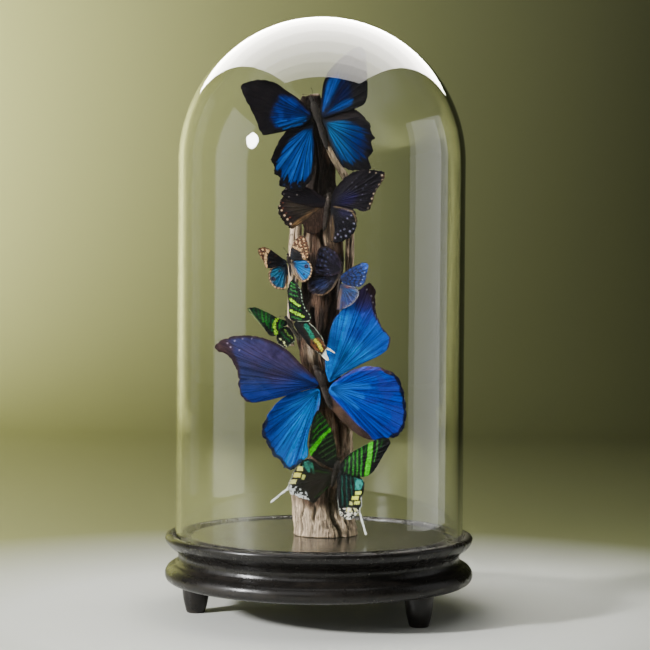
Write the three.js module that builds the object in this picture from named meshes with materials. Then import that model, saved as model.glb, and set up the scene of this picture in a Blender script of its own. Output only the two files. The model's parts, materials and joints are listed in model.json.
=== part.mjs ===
// Dried butterflies and moths on a driftwood stem, under a tall glass dome that
// stands loose in the groove of a turned wooden base on three short feet.
// Millimetres, +Z up. Origin: on the dome's axis, in the plane of the feet.
import * as THREE from 'three';
import { mergeVertices } from 'three/addons/utils/BufferGeometryUtils.js';

// ---------------------------------------------------------------- dimensions
const TURN_SEGMENTS = 40;          // facets round the base and the dome
const BASE_UNDERSIDE_Z = 21.4;     // flat underside of the turned base
const PLATEAU_Z = 51.7;            // raised inner disc that the wood stands on
const PLATEAU_R = 83.6;
const GROOVE_Z = 48.5;             // floor of the groove that holds the glass
const LIP_INNER_R = 96.4;
const DOME_OUTER_R = 95.5;
const DOME_WALL = 3.0;
const DOME_BOTTOM_Z = 48.9;
const DOME_SHOULDER_Z = 299.6;     // where the straight wall turns into the cap
const FOOT_CIRCLE_R = 81.5;
const FOOT_ANGLES = { left: 184, front_right: -38, back_right: 50 };
const FOOT_TOP_Z = 21.1;           // 0.3 under the base
const WING_T = 0.5;                // thickness of a wing plate
const FORE_LIFT = 0.55;            // middle of the forewing above the hinge line
const HIND_LIFT = -0.45;
const PIN_R = 0.4;
const GAP = 0.3;

// outer profile of the turned base, from the underside up and in to the axis
const BASE_PROFILE = [
  [0, BASE_UNDERSIDE_Z], [96.6, BASE_UNDERSIDE_Z], [99.6, 22.1], [101.6, 23.8], [102.3, 26.2],
  [101.9, 28.9], [100.3, 31.3], [97.6, 33.1], [94.8, 34.6], [93.4, 37.0], [93.7, 39.6],
  [95.4, 42.2], [98.6, 44.6], [101.2, 47.3], [102.3, 50.0], [101.8, 51.9], [100.2, 52.8],
  [97.4, 52.5], [LIP_INNER_R, 51.3], [LIP_INNER_R - 0.3, GROOVE_Z], [88.2, GROOVE_Z],
  [85.6, 49.4], [84.6, 51.0], [PLATEAU_R, PLATEAU_Z], [0, PLATEAU_Z],
];

// foot: short turned peg, fatter at the top, from the floor up
const FOOT_PROFILE = [
  [0, 0], [5.7, 0], [6.4, 0.9], [7.6, 5.2], [8.6, 10.2], [9.2, 15.2], [9.4, FOOT_TOP_Z], [0, FOOT_TOP_Z],
];

// wood: [z, left x, right x, front y, back y] of the trunk's sections, bottom to top
const TRUNK = [
  [52.0, -17.4, 25.6, -19.2, 17.6], [57.0, -16.8, 25.0, -19.0, 16.8], [64.0, -17.6, 22.8, -18.6, 16.0],
  [72.5, -18.6, 20.6, -18.0, 15.4], [82.0, -18.2, 18.4, -17.6, 14.6], [95.0, -12.4, 21.0, -17.2, 14.0],
  [108.5, -3.0, 22.6, -16.6, 13.0], [125.0, -3.8, 21.6, -15.6, 12.0], [141.0, -5.0, 18.0, -14.6, 11.4],
  [154.5, -8.4, 14.0, -14.0, 11.0], [168.0, -13.2, 11.0, -13.4, 10.8], [182.0, -16.2, 9.8, -13.0, 10.4], [194.5, -15.6, 11.4, -12.4, 9.6],
  [208.0, -14.2, 12.8, -12.2, 9.6], [221.0, -13.2, 14.0, -12.6, 10.0], [234.5, -12.4, 14.6, -13.0, 10.2],
  [248.0, -12.6, 13.6, -13.4, 10.0], [264.0, -11.0, 11.8, -14.2, 9.6], [281.0, -11.0, 9.6, -13.4, 8.8],
  [298.0, -9.6, 8.4, -12.2, 8.0], [314.5, -11.0, 5.6, -11.6, 7.2], [331.0, -14.4, 2.6, -11.0, 6.6],
  [342.5, -15.6, -0.6, -8.6, 5.6], [346.0, -13.8, -4.4, -5.8, 3.2],
];
// radius factor every 1/16 turn: the wood is furrowed, not round
const TRUNK_FLUTES = [1.0, 0.93, 1.0, 0.96, 1.0, 0.92, 0.99, 0.95, 1.0, 0.94, 1.0, 0.97, 0.99, 0.96, 1.0, 0.95];
// thin limbs: [z, centre x, centre y, half width, half depth]
const LEFT_LIMB = [
  [177.0, -18.6, -7.4, 1.0, 1.2], [184.0, -20.0, -7.8, 1.8, 2.2], [194.0, -20.2, -8.2, 2.4, 3.0], [206.0, -19.4, -8.4, 2.8, 3.4],
  [220.0, -18.4, -8.4, 3.5, 3.9], [232.0, -17.8, -8.2, 4.2, 4.3], [246.0, -17.4, -7.8, 4.2, 4.3], [256.0, -17.0, -7.0, 4.0, 4.0], [262.0, -16.6, -6.4, 2.8, 2.8],
];
const RIGHT_LIMB = [
  [206.0, 16.4, -3.4, 2.0, 2.6], [222.0, 18.0, -3.6, 2.7, 3.4], [237.0, 19.0, -4.0, 3.2, 4.0],
  [256.0, 18.8, -4.2, 3.0, 4.0], [272.0, 17.8, -4.4, 2.8, 3.4], [289.0, 15.6, -4.8, 2.6, 3.0],
  [298.0, 12.9, -5.2, 2.4, 2.7], [306.0, 11.3, -5.6, 2.0, 2.3],
];

// Insects. Each lies in its own frame: x to its right, y towards its head, z up
// from its back. Wing outlines are [outwards from the hinge line, towards the head].
const SPECIMENS = [
  {
    id: 'longwing', at: [-2.9, -18, 326.22], right: [0.9536, 0.037, 0.2988], head: [-0.3004, 0.0511, 0.9524],
    bodyTail: -21.47, bodyHead: 16.26, thoraxR: 3.0, abdomenR: 2.0, dihedral: [12, 12],
    wings: {
      fore_left: [[43, 33.7], [30.4, 34.3], [20.6, 29.6], [15.1, 23], [9, 15.9], [5.7, 9.4], [3.5, 4.7], [5.4, 0.5], [9.8, -1.5], [17, -2.6], [25.4, -2.7], [32.7, -2.3], [38.5, -1.5], [40.1, 1.8], [40.3, 7.1], [41.1, 13.2], [42, 18.7], [43.3, 26.4]],
      fore_right: [[3.2, 1.2], [8, 15.9], [11.5, 22.2], [17.9, 28.2], [26.8, 32.7], [35.2, 35.7], [41.3, 35.9], [43, 31.6], [40.7, 21.9], [37.8, 10.2], [35.2, 2.9], [32.2, -0.6], [22.8, -1.9], [14, -1.2], [3.6, -0.7]],
      hind_left: [[4.2, -0.2], [13.6, -2], [22.8, -2.5], [30.7, -8.5], [35.4, -14], [38.6, -18.4], [37.7, -21.5], [38.9, -27.9], [36.1, -30.8], [38.1, -34.8], [34.3, -39.5], [27.8, -42.7], [19.3, -39.8], [13, -31.8], [8, -18.2], [6.1, -9.6]],
      hind_right: [[2.8, -1], [13.6, -0.7], [23.7, -1], [29.1, -7.6], [32, -15.2], [31.2, -20.2], [32.1, -24.2], [28.9, -26.1], [28.3, -31.9], [24.5, -34.3], [23.9, -38.6], [23.6, -42.2], [12.9, -40.2], [6.8, -36], [4.1, -27.6], [2.5, -18.1], [3.2, -8.6]],
    },
  },
  {
    id: 'crow', at: [4.12, -21, 271.03], right: [0.9899, 0.0495, -0.1331], head: [0.1329, 0.0066, 0.9911],
    bodyTail: -18.40, bodyHead: 6.75, thoraxR: 2.7, abdomenR: 1.9, dihedral: [0, 14],
    wings: {
      fore_left: [[2.7, 1.7], [6.7, 4.9], [14.4, 8.1], [22.4, 8.9], [28, 6.7], [30.8, 1.4], [27.5, -1.4], [20.7, -3.4], [12, -4.1], [3, -2.3]],
      fore_right: [[2.8, 1.4], [3, 8.5], [8.3, 16.7], [13.9, 21.8], [21.2, 24.3], [32.7, 24.7], [35, 23.7], [34.1, 18.6], [31.2, 12.6], [29.7, 5.5], [28.1, -1], [25.1, -2.6], [18, -1.6], [9.6, -1.2], [3.2, -1.1]],
      hind_left: [[3.1, -0.3], [12.3, -1.4], [21, -1.1], [29.1, 0.4], [31.7, -5.3], [30.9, -11.5], [27, -16.6], [21.5, -20.2], [17.6, -17.7], [15.2, -16.1], [12.7, -19.3], [9.1, -21.6], [4.5, -21.2], [1.6, -16.7], [2.3, -8.8]],
      hind_right: [[3.2, -1], [8.6, 0.5], [16.4, -0.4], [19.6, -5.1], [21.2, -11.8], [19.5, -18.3], [15.1, -22.7], [9, -25.4], [5, -24.6], [3, -15.4], [2.5, -6.6]],
    },
  },
  {
    id: 'pansy', at: [-20.92, -20.5, 231.63], right: [0.9901, -0.0555, 0.1291], head: [-0.1272, 0.0374, 0.9912],
    bodyTail: -9.21, bodyHead: 6.66, thoraxR: 1.5, abdomenR: 1.0, dihedral: [14, 10],
    wings: {
      fore_left: [[19.1, 11.1], [15.1, 12], [8.7, 7.6], [4.4, 3.7], [1.9, 1.4], [2.3, -0.7], [7.3, -1.4], [15.5, -1.8], [16.9, 2.8], [19.2, 7.4]],
      fore_right: [[2, 2.1], [2, 7.7], [6.5, 14.7], [11.3, 16.5], [13.9, 11.7], [14.4, 5.4], [12.6, 1.2], [6.9, 0.7]],
      hind_left: [[1.8, -0.2], [8.1, -0.6], [12.7, -2.3], [14.7, -6.2], [14.1, -11.9], [10.1, -16.2], [4.5, -16.8], [2, -12], [1.4, -5.8]],
      hind_right: [[1.8, 0.2], [6, 1.5], [11.2, 1.6], [14.6, -2.1], [15, -6.6], [12, -12.5], [7.3, -13.8], [3.3, -10], [1.3, -6.7]],
    },
  },
  {
    id: 'cracker', at: [12.42, -17.5, 221.52], right: [0.991, 0, -0.1338], head: [0.1338, 0, 0.991],
    bodyTail: -13.97, bodyHead: 11.21, thoraxR: 1.5, abdomenR: 1.0, dihedral: [0, 38],
    wings: {
      fore_left: [[16.5, 17.5], [13.1, 19.9], [8.4, 18.6], [2.7, 14.4], [1.1, 8.6], [1.9, 4.2], [4.9, 1.6], [10.6, 0.2], [16.6, 0.4], [17.8, 4.7], [17.4, 11.4]],
      fore_right: [[1.9, -1.7], [2.3, 2], [4.1, 5], [8.6, 8.1], [12.4, 10.2], [16.6, 12.2], [21.3, 12], [22.2, 9.4], [21.7, 5], [21.3, 0.3], [18.9, -2.9], [14.9, -3.8], [8.2, -3.3]],
      hind_left: [[1.9, 3.9], [1.7, 0.7], [3.5, -6.7], [10.2, -12.7], [18.8, -10.7], [20.1, -5.8], [17.1, -0.6], [10.9, 2.1], [5.1, 3.3]],
      hind_right: [[1.7, -3.1], [10.7, -3], [15.3, -5.2], [17.2, -8.7], [15, -12.9], [11.4, -16.3], [4.4, -19.8], [0.3, -20.3], [0.3, -16], [1.6, -9.5]],
    },
  },
  {
    id: 'sunset', at: [-19.88, -29, 191.77], right: [0.8508, -0.0255, 0.5248], head: [-0.5246, 0.0157, 0.8512],
    bodyTail: -12.74, bodyHead: 6.18, thoraxR: 1.9, abdomenR: 1.4, dihedral: [10, 6],
    wings: {
      fore_left: [[18.5, 22.3], [14.2, 21], [10.6, 16.6], [7.1, 11.2], [4.2, 6.5], [2, 2.8], [2.3, 0.4], [4.9, 0.4], [9.9, -2.1], [14.9, -0.1], [16, 5.4], [17.2, 13.8]],
      fore_right: [[16.3, 23.7], [10.3, 19.6], [7.5, 14.2], [3.6, 7], [2, 2.5], [3.1, 0.5], [11.4, -5], [14.5, -3.1], [14.3, 1.3], [14.8, 6.8], [17.6, 13.8], [18, 19.4]],
      hind_left: [[2.2, -1], [6.5, 0.5], [11.1, -2], [12.8, -5.2], [12.4, -8.8], [10.4, -11.9], [5.9, -11.6], [2.6, -10.6]],
      hind_right: [[2.4, -1], [7.4, -1.6], [10.7, -4.4], [12.5, -9.4], [13.3, -14.5], [13.6, -19.5], [12.6, -22.8], [15.3, -30.4], [15.2, -31.9], [11.8, -26.4], [10.5, -28.3], [9.5, -33.2], [8.1, -33], [6.6, -27.1], [3.8, -20.4], [2.4, -12.2]],
    },
  },
  {
    id: 'morpho', at: [1.87, -23, 151.46], right: [0.9342, 0.0071, 0.3566], head: [-0.3566, 0.0187, 0.9341],
    bodyTail: -16.61, bodyHead: 14.86, thoraxR: 3.2, abdomenR: 2.4, dihedral: [11, -9],
    wings: {
      fore_left: [[57.4, 48.3], [54.3, 50.4], [44.7, 50.7], [31.9, 46.5], [22, 39.6], [14, 30], [8.7, 18.5], [3.9, 8.7], [3.2, 1.8], [15, 1.8], [28.1, 2.9], [39.1, 4.1], [49.5, 7], [52.5, 11.9], [52.4, 18.5], [50, 26.2], [49.9, 32.8], [51, 38.8], [53.4, 42.5], [56.7, 45.1]],
      fore_right: [[4.6, 2.3], [5.3, 9.9], [8.3, 17.9], [15.3, 30.1], [22.2, 38.5], [26.9, 41.3], [36.7, 46.9], [46.3, 51.5], [52.2, 52.7], [55, 48.1], [52.5, 41.5], [50, 32.9], [50.3, 21.7], [52.6, 14.2], [48.9, 8.2], [42.8, 6], [28.7, 4.6], [13, 2.3], [5, 0.9]],
      hind_left: [[3.3, -1.1], [14.8, 1.7], [24.2, 2.6], [34, -0.4], [43, -6.7], [48.1, -12.4], [48.9, -15.9], [47.8, -21.9], [46.4, -30.9], [42.9, -37], [42.5, -41], [37.7, -43.7], [31.1, -41.5], [25.6, -38.8], [23, -31.2], [17.4, -22], [7.9, -13.1]],
      hind_right: [[3.9, -2.5], [12.6, 1.3], [21.8, 3.1], [32.6, 1.6], [41.7, -3.1], [48.5, -11.1], [49, -20], [47.5, -29], [44.1, -39.3], [37.9, -46.5], [31.6, -47.8], [25.6, -45.9], [18, -44.3], [12, -39.7], [6.7, -32.1], [2.2, -22.5], [2.5, -11.5]],
    },
  },
  {
    id: 'urania', at: [11.1, -27.5, 99.71], right: [0.978, 0.0293, -0.2067], head: [0.2066, 0.0062, 0.9784],
    bodyTail: -13.82, bodyHead: 5.87, thoraxR: 2.7, abdomenR: 2.0, dihedral: [6, 10],
    wings: {
      fore_left: [[20.2, 32.7], [21.9, 23.3], [20.8, 9], [18.6, 3.9], [14.3, 1.4], [2.9, -1.7], [2.9, 1.4], [4.1, 14.3], [9.9, 23.9]],
      fore_right: [[2.8, 1.6], [6.2, 9.2], [14, 16.5], [24.1, 24.3], [28.5, 25.3], [30.8, 23], [27.7, 12.3], [23.7, 1.4], [19.9, -2.2], [12, -3.8], [3, -2.6]],
      hind_left: [[2.3, -4.6], [9.1, -2.6], [18, 1.2], [22.2, -0.9], [24.8, -4.8], [27.2, -9.9], [28.1, -16.1], [28.4, -19.2], [37.5, -31.4], [36.5, -32.1], [26.7, -21.2], [25.7, -23.6], [20.4, -24.5], [16.2, -25.2], [9.2, -26.3], [5.2, -19], [1.7, -12.2]],
      hind_right: [[2.4, -3.2], [9, -2.3], [14.1, -2.5], [19.4, -5.6], [21, -10.4], [20.6, -15.5], [21.9, -21.3], [21.1, -23], [28.8, -38.6], [27.8, -39.5], [20.1, -25.9], [19.5, -27.7], [17.9, -30.9], [14.5, -32.2], [9.1, -30.5], [7.2, -26.8], [3.8, -15.7]],
    },
  },
];

// body outline from tail to head: [fraction of the length, radius, 'a' abdomen or 't' thorax]
const BODY_PROFILE = [
  [0.02, 0.35, 'a'], [0.12, 0.8, 'a'], [0.35, 1.0, 'a'], [0.52, 0.85, 'a'], [0.60, 0.9, 't'],
  [0.72, 1.0, 't'], [0.84, 0.75, 't'], [0.88, 0.45, 't'], [0.94, 0.5, 't'], [0.985, 0.3, 't'],
];

// ---------------------------------------------------------------- finishes
const finish = (color, roughness, metalness = 0) => new THREE.MeshStandardMaterial({ color, roughness, metalness });
const ebonised = finish(0x1c1815, 0.35);
const glass = new THREE.MeshStandardMaterial({ color: 0xeef4ee, roughness: 0.03, metalness: 0, transparent: true, opacity: 0.2 });
const wood = finish(0x9a8a72, 0.85);
const fur = finish(0x2a231d, 0.9);
const steel = finish(0x8a8a88, 0.35, 1);
const WING_FINISH = {
  longwing: finish(0x0b3f86, 0.4), crow: finish(0x241f2c, 0.6), pansy: finish(0x2b6f8a, 0.5),
  cracker: finish(0x2f4a80, 0.5), sunset: finish(0x1c3a20, 0.5), morpho: finish(0x1565c8, 0.3), urania: finish(0x17301d, 0.5),
};

// ---------------------------------------------------------------- helpers
// keeps only position, joins shared points and drops slivers with no area
function solid(geometry) {
  let g = geometry.index ? geometry.toNonIndexed() : geometry.clone();
  for (const k of Object.keys(g.attributes)) if (k !== 'position') g.deleteAttribute(k);
  g = mergeVertices(g, 1e-4);
  const p = g.attributes.position, out = [];
  const a = new THREE.Vector3(), b = new THREE.Vector3(), c = new THREE.Vector3();
  let volume = 0;
  for (let i = 0; i < g.index.count; i += 3) {
    const [ia, ib, ic] = [g.index.getX(i), g.index.getX(i + 1), g.index.getX(i + 2)];
    if (ia === ib || ib === ic || ia === ic) continue;
    a.fromBufferAttribute(p, ia); b.fromBufferAttribute(p, ib); c.fromBufferAttribute(p, ic);
    volume += a.dot(b.clone().cross(c));
    out.push(ia, ib, ic);
  }
  if (volume < 0) for (let i = 0; i < out.length; i += 3) [out[i + 1], out[i + 2]] = [out[i + 2], out[i + 1]];
  g.setIndex(out);
  g.computeVertexNormals();
  return g;
}

function mesh(name, geometry, material) {
  const m = new THREE.Mesh(solid(geometry), material);
  m.name = name;
  return m;
}

// turned about +Z from [radius, z] pairs
function turned(profile, segments) {
  const g = new THREE.LatheGeometry(profile.map(([r, z]) => new THREE.Vector2(r, z)), segments);
  return g.rotateX(Math.PI / 2);
}

// upright limb: a closed cylinder whose rings are moved to horizontal sections
function limb(rings, sides) {
  const g = new THREE.CylinderGeometry(1, 1, 1, sides, rings.length - 1);
  const p = g.attributes.position, n = rings.length;
  for (let i = 0; i < p.count; i++) {
    const level = Math.round((p.getY(i) + 0.5) * (n - 1));
    const r = Math.hypot(p.getX(i), p.getZ(i));
    const turn = Math.atan2(p.getZ(i), p.getX(i));
    const [x, y] = rings[level].at(turn, r);
    p.setXYZ(i, x, rings[level].z, -y);
  }
  return g.rotateX(Math.PI / 2);
}

// one trunk section: half ellipses to the four sides, furrowed by the flutes
function trunkRing([z, left, right, front, back]) {
  const cx = (left + right) / 2, cy = (front + back) / 2;
  return {
    z,
    at: (turn, r) => {
      const k = ((Math.round(turn / (Math.PI / 8)) % 16) + 16) % 16;
      const f = r < 1e-6 ? 0 : TRUNK_FLUTES[k];
      return [cx + (right - left) / 2 * f * Math.cos(turn), cy + (back - front) / 2 * f * Math.sin(turn)];
    },
  };
}
function limbRing([z, cx, cy, hw, hd]) {
  return { z, at: (turn, r) => [cx + hw * r * Math.cos(turn), cy + hd * r * Math.sin(turn)] };
}

// the trunk's front face at (x, z), for the length of the pins
function woodFront(x, z) {
  const inLimb = [LEFT_LIMB, RIGHT_LIMB].map((rows) => {
    for (let i = 0; i + 1 < rows.length; i++) {
      const [a, b] = [rows[i], rows[i + 1]];
      if (z < a[0] || z > b[0]) continue;
      const t = (z - a[0]) / (b[0] - a[0]);
      const [cx, cy, hw, hd] = [1, 2, 3, 4].map((k) => a[k] + (b[k] - a[k]) * t);
      const u = (x - cx) / hw;
      if (Math.abs(u) < 0.95) return cy - hd * Math.sqrt(1 - u * u);
    }
    return Infinity;
  });
  let y = Infinity;
  for (let i = 0; i + 1 < TRUNK.length; i++) {
    const [a, b] = [TRUNK[i], TRUNK[i + 1]];
    if (z < a[0] || z > b[0]) continue;
    const t = (z - a[0]) / (b[0] - a[0]);
    const [l, r, f, k] = [1, 2, 3, 4].map((j) => a[j] + (b[j] - a[j]) * t);
    const u = (x - (l + r) / 2) / ((r - l) / 2);
    if (Math.abs(u) < 1) y = (f + k) / 2 - (k - f) / 2 * Math.sqrt(1 - u * u);
  }
  return Math.min(y, ...inLimb);
}

// ---------------------------------------------------------------- object
const object = new THREE.Group();

object.add(mesh('base_plinth', turned(BASE_PROFILE, TURN_SEGMENTS), ebonised));
for (const [side, angle] of Object.entries(FOOT_ANGLES)) {
  const foot = mesh(`foot_${side}`, turned(FOOT_PROFILE, 16), ebonised);
  const a = THREE.MathUtils.degToRad(angle);
  foot.position.set(FOOT_CIRCLE_R * Math.cos(a), FOOT_CIRCLE_R * Math.sin(a), 0);
  object.add(foot);
}

// blown glass: straight wall and round cap, open at the bottom
const DOME_INNER_R = DOME_OUTER_R - DOME_WALL;
const cap = (r, up) => {
  const pts = [];
  for (let i = 0; i <= 9; i++) {
    const a = (up ? i : 9 - i) / 9 * Math.PI / 2;
    pts.push([i === (up ? 9 : 0) ? 0 : r * Math.cos(a), DOME_SHOULDER_Z + r * Math.sin(a)]);
  }
  return pts;
};
const domeProfile = [[DOME_OUTER_R, DOME_BOTTOM_Z], ...cap(DOME_OUTER_R, true), ...cap(DOME_INNER_R, false), [DOME_INNER_R, DOME_BOTTOM_Z], [DOME_OUTER_R, DOME_BOTTOM_Z]];
object.add(mesh('glass_dome', turned(domeProfile, TURN_SEGMENTS), glass));

object.add(mesh('driftwood_trunk', limb(TRUNK.map(trunkRing), 16), wood));
object.add(mesh('driftwood_left_limb', limb(LEFT_LIMB.map(limbRing), 8), wood));
object.add(mesh('driftwood_right_limb', limb(RIGHT_LIMB.map(limbRing), 8), wood));

for (const s of SPECIMENS) {
  const insect = new THREE.Group();
  const right = new THREE.Vector3(...s.right), head = new THREE.Vector3(...s.head);
  const up = new THREE.Vector3().crossVectors(right, head).normalize();
  insect.quaternion.setFromRotationMatrix(new THREE.Matrix4().makeBasis(right, head, up));
  insect.position.set(...s.at);
  object.add(insect);

  const length = s.bodyHead - s.bodyTail, drop = -0.35 * s.thoraxR;
  const outline = [[0, s.bodyTail], ...BODY_PROFILE.map(([f, r, part]) => [r * (part === 'a' ? s.abdomenR : s.thoraxR), s.bodyTail + f * length]), [0, s.bodyHead]];
  const body = mesh(`${s.id}_body`, new THREE.LatheGeometry(outline.map(([r, y]) => new THREE.Vector2(r, y)), 8), fur);
  body.position.z = drop;
  insect.add(body);

  for (const [wing, points] of Object.entries(s.wings)) {
    const side = wing.endsWith('right') ? 1 : -1;
    const shape = new THREE.Shape(points.map(([out, y]) => new THREE.Vector2(side * out, y)));
    const plate = new THREE.ExtrudeGeometry(shape, { depth: WING_T, steps: 1, bevelEnabled: false, curveSegments: 1 });
    plate.translate(0, 0, (wing.startsWith('fore') ? FORE_LIFT : HIND_LIFT) - WING_T / 2);
    const m = mesh(`${s.id}_${wing.replace('_', 'wing_')}`, plate, WING_FINISH[s.id]);
    m.rotation.y = -side * THREE.MathUtils.degToRad(s.dihedral[side > 0 ? 1 : 0]);
    insect.add(m);
  }

  // pin: straight back from the thorax to the wood
  const hold = new THREE.Vector3(0, s.bodyTail + 0.70 * length, drop).applyQuaternion(insect.quaternion).add(insect.position);
  const y0 = hold.y + s.thoraxR + GAP + 0.1, y1 = woodFront(hold.x, hold.z) - GAP;
  if (Number.isFinite(y1) && y1 - y0 > 0.8) {
    const pin = mesh(`${s.id}_pin`, new THREE.CylinderGeometry(PIN_R, PIN_R, y1 - y0, 8), steel);
    pin.position.set(hold.x, (y0 + y1) / 2, hold.z);
    object.add(pin);
  }
}

export default object;
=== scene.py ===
# Dried butterflies and moths on driftwood under a glass dome, on a turned black base.
import bpy, math, json
import numpy as np
from mathutils import Vector, Matrix
from mathutils.geometry import delaunay_2d_cdt

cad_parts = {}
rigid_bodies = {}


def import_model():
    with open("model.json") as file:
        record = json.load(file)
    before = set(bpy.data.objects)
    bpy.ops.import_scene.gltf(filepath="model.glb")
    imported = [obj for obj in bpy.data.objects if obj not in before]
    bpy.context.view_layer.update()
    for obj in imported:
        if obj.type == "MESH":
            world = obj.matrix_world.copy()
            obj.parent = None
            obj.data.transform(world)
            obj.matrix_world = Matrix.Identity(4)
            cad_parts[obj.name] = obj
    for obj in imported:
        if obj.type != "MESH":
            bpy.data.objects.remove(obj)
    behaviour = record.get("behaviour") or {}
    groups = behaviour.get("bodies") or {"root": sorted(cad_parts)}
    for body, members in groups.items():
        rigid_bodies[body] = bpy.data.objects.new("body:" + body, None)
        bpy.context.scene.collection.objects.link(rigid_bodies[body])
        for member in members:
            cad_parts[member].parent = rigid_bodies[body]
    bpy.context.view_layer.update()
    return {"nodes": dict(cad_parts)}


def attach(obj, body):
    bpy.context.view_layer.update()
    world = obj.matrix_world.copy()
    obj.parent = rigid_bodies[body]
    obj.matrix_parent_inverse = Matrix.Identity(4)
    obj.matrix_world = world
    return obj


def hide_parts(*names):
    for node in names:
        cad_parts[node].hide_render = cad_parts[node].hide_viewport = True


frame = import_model()
RNG = np.random.default_rng(906)

# ------------------------------------------------------------------ camera
K = 0.6667                      # mm per picture pixel at the dome's axis
F = 1630.0                      # focal length in picture pixels, 650 wide
D = F * K
PITCH = math.atan((325 - 318) / F)
ROLL = math.radians(0.489)
CAM = np.array([2.83871478, -D, 195.85547749])
FWD = np.array([0, math.cos(PITCH), -math.sin(PITCH)])
_r0 = np.array([1.0, 0, 0]); _u0 = np.cross(_r0, FWD)
RIGHT = math.cos(ROLL) * _r0 + math.sin(ROLL) * _u0
UP = -math.sin(ROLL) * _r0 + math.cos(ROLL) * _u0


def proj(P):
    q = np.atleast_2d(P) - CAM
    z = q @ FWD
    return np.stack([325 + F * (q @ RIGHT) / z, 325 - F * (q @ UP) / z], -1)


def ray(px):
    px = np.atleast_2d(np.asarray(px, float))
    d = FWD[None] * F + RIGHT[None] * (px[:, :1] - 325) - UP[None] * (px[:, 1:] - 325)
    return d / np.linalg.norm(d, axis=1, keepdims=True)


def hit(px, p0, n):
    d = ray(px); n = np.asarray(n, float)
    t = ((np.asarray(p0, float) - CAM) @ n) / (d @ n)
    return CAM + d * t[:, None]


def at_depth(px, y):
    d = ray(px)
    return CAM + d * ((y - CAM[1]) / d[:, 1])[:, None]


cam_data = bpy.data.cameras.new("camera")
cam_data.sensor_width = 36.0
cam_data.lens = 36.0 * F / 650.0
cam_data.clip_start = 0.01
cam_data.clip_end = 30.0
cam = bpy.data.objects.new("camera", cam_data)
bpy.context.scene.collection.objects.link(cam)
_m = Matrix.Identity(4)
for _i in range(3):
    _m[_i][0], _m[_i][1], _m[_i][2], _m[_i][3] = RIGHT[_i], UP[_i], -FWD[_i], CAM[_i] / 1000
cam.matrix_world = _m
bpy.context.scene.camera = cam


# ------------------------------------------------------------------ small maths
def unit(v):
    v = np.asarray(v, float)
    return v / np.linalg.norm(v)


def sm(x, a, b):
    t = np.clip((x - a) / (b - a), 0, 1)
    return t * t * (3 - 2 * t)


def lin(r, g, b):
    c = np.array([r, g, b], float) / 255
    return np.where(c <= 0.04045, c / 12.92, ((c + 0.055) / 1.055) ** 2.4)


def _hash(i, j, k, seed):
    with np.errstate(over="ignore"):
        h = (i.astype(np.uint32) * np.uint32(374761393) + j.astype(np.uint32) * np.uint32(668265263)
             + k.astype(np.uint32) * np.uint32(2246822519) + np.uint32(seed * 3266489917 & 0xFFFFFFFF))
        h = (h ^ (h >> np.uint32(13))) * np.uint32(1274126177)
        h = h ^ (h >> np.uint32(16))
    return h.astype(np.float64) / 4294967295.0


def vnoise(P, seed=0):
    """smooth value noise from -1 to 1 at points P (N,3)"""
    P = np.asarray(P, float)
    if P.shape[1] == 2:
        P = np.concatenate([P, np.zeros((len(P), 1))], 1)
    i = np.floor(P).astype(np.int64); f = P - i
    u = f * f * f * (f * (f * 6 - 15) + 10)
    out = 0
    for a in (0, 1):
        for b in (0, 1):
            for c in (0, 1):
                w = (u[:, 0] if a else 1 - u[:, 0]) * (u[:, 1] if b else 1 - u[:, 1]) * (u[:, 2] if c else 1 - u[:, 2])
                out = out + w * _hash(i[:, 0] + a, i[:, 1] + b, i[:, 2] + c, seed)
    return out * 2 - 1


def fbm(P, seed=0, octaves=4, gain=0.5):
    P = np.asarray(P, float); out = 0; amp = 1; tot = 0
    for o in range(octaves):
        out = out + amp * vnoise(P * (2.03 ** o), seed + o * 17); tot += amp; amp *= gain
    return out / tot


def catmull(points, step, closed=True, corners=()):
    """resampled Catmull-Rom curve through points; corners stay sharp"""
    P = np.asarray(points, float); n = len(P); out = []
    idx = range(n) if closed else range(n - 1)
    for i in idx:
        p1, p2 = P[i], P[(i + 1) % n]
        p0 = P[i - 1] if (closed or i > 0) else 2 * p1 - p2
        p3 = P[(i + 2) % n] if (closed or i + 2 < n) else 2 * p2 - p1
        if i in corners: p0 = 2 * p1 - p2
        if (i + 1) % n in corners: p3 = 2 * p2 - p1
        L = np.linalg.norm(p2 - p1)
        m = max(1, int(round(L / step)))
        # centripetal parameters
        t0 = 0; t1 = t0 + max(1e-6, np.linalg.norm(p1 - p0)) ** 0.5; t2 = t1 + max(1e-6, L) ** 0.5; t3 = t2 + max(1e-6, np.linalg.norm(p3 - p2)) ** 0.5
        for j in range(m):
            t = t1 + (t2 - t1) * j / m
            A1 = (t1 - t) / (t1 - t0) * p0 + (t - t0) / (t1 - t0) * p1
            A2 = (t2 - t) / (t2 - t1) * p1 + (t - t1) / (t2 - t1) * p2
            A3 = (t3 - t) / (t3 - t2) * p2 + (t - t2) / (t3 - t2) * p3
            B1 = (t2 - t) / (t2 - t0) * A1 + (t - t0) / (t2 - t0) * A2
            B2 = (t3 - t) / (t3 - t1) * A2 + (t - t1) / (t3 - t1) * A3
            out.append((t2 - t) / (t2 - t1) * B1 + (t - t1) / (t2 - t1) * B2)
    if not closed: out.append(P[-1])
    return np.array(out)


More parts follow.
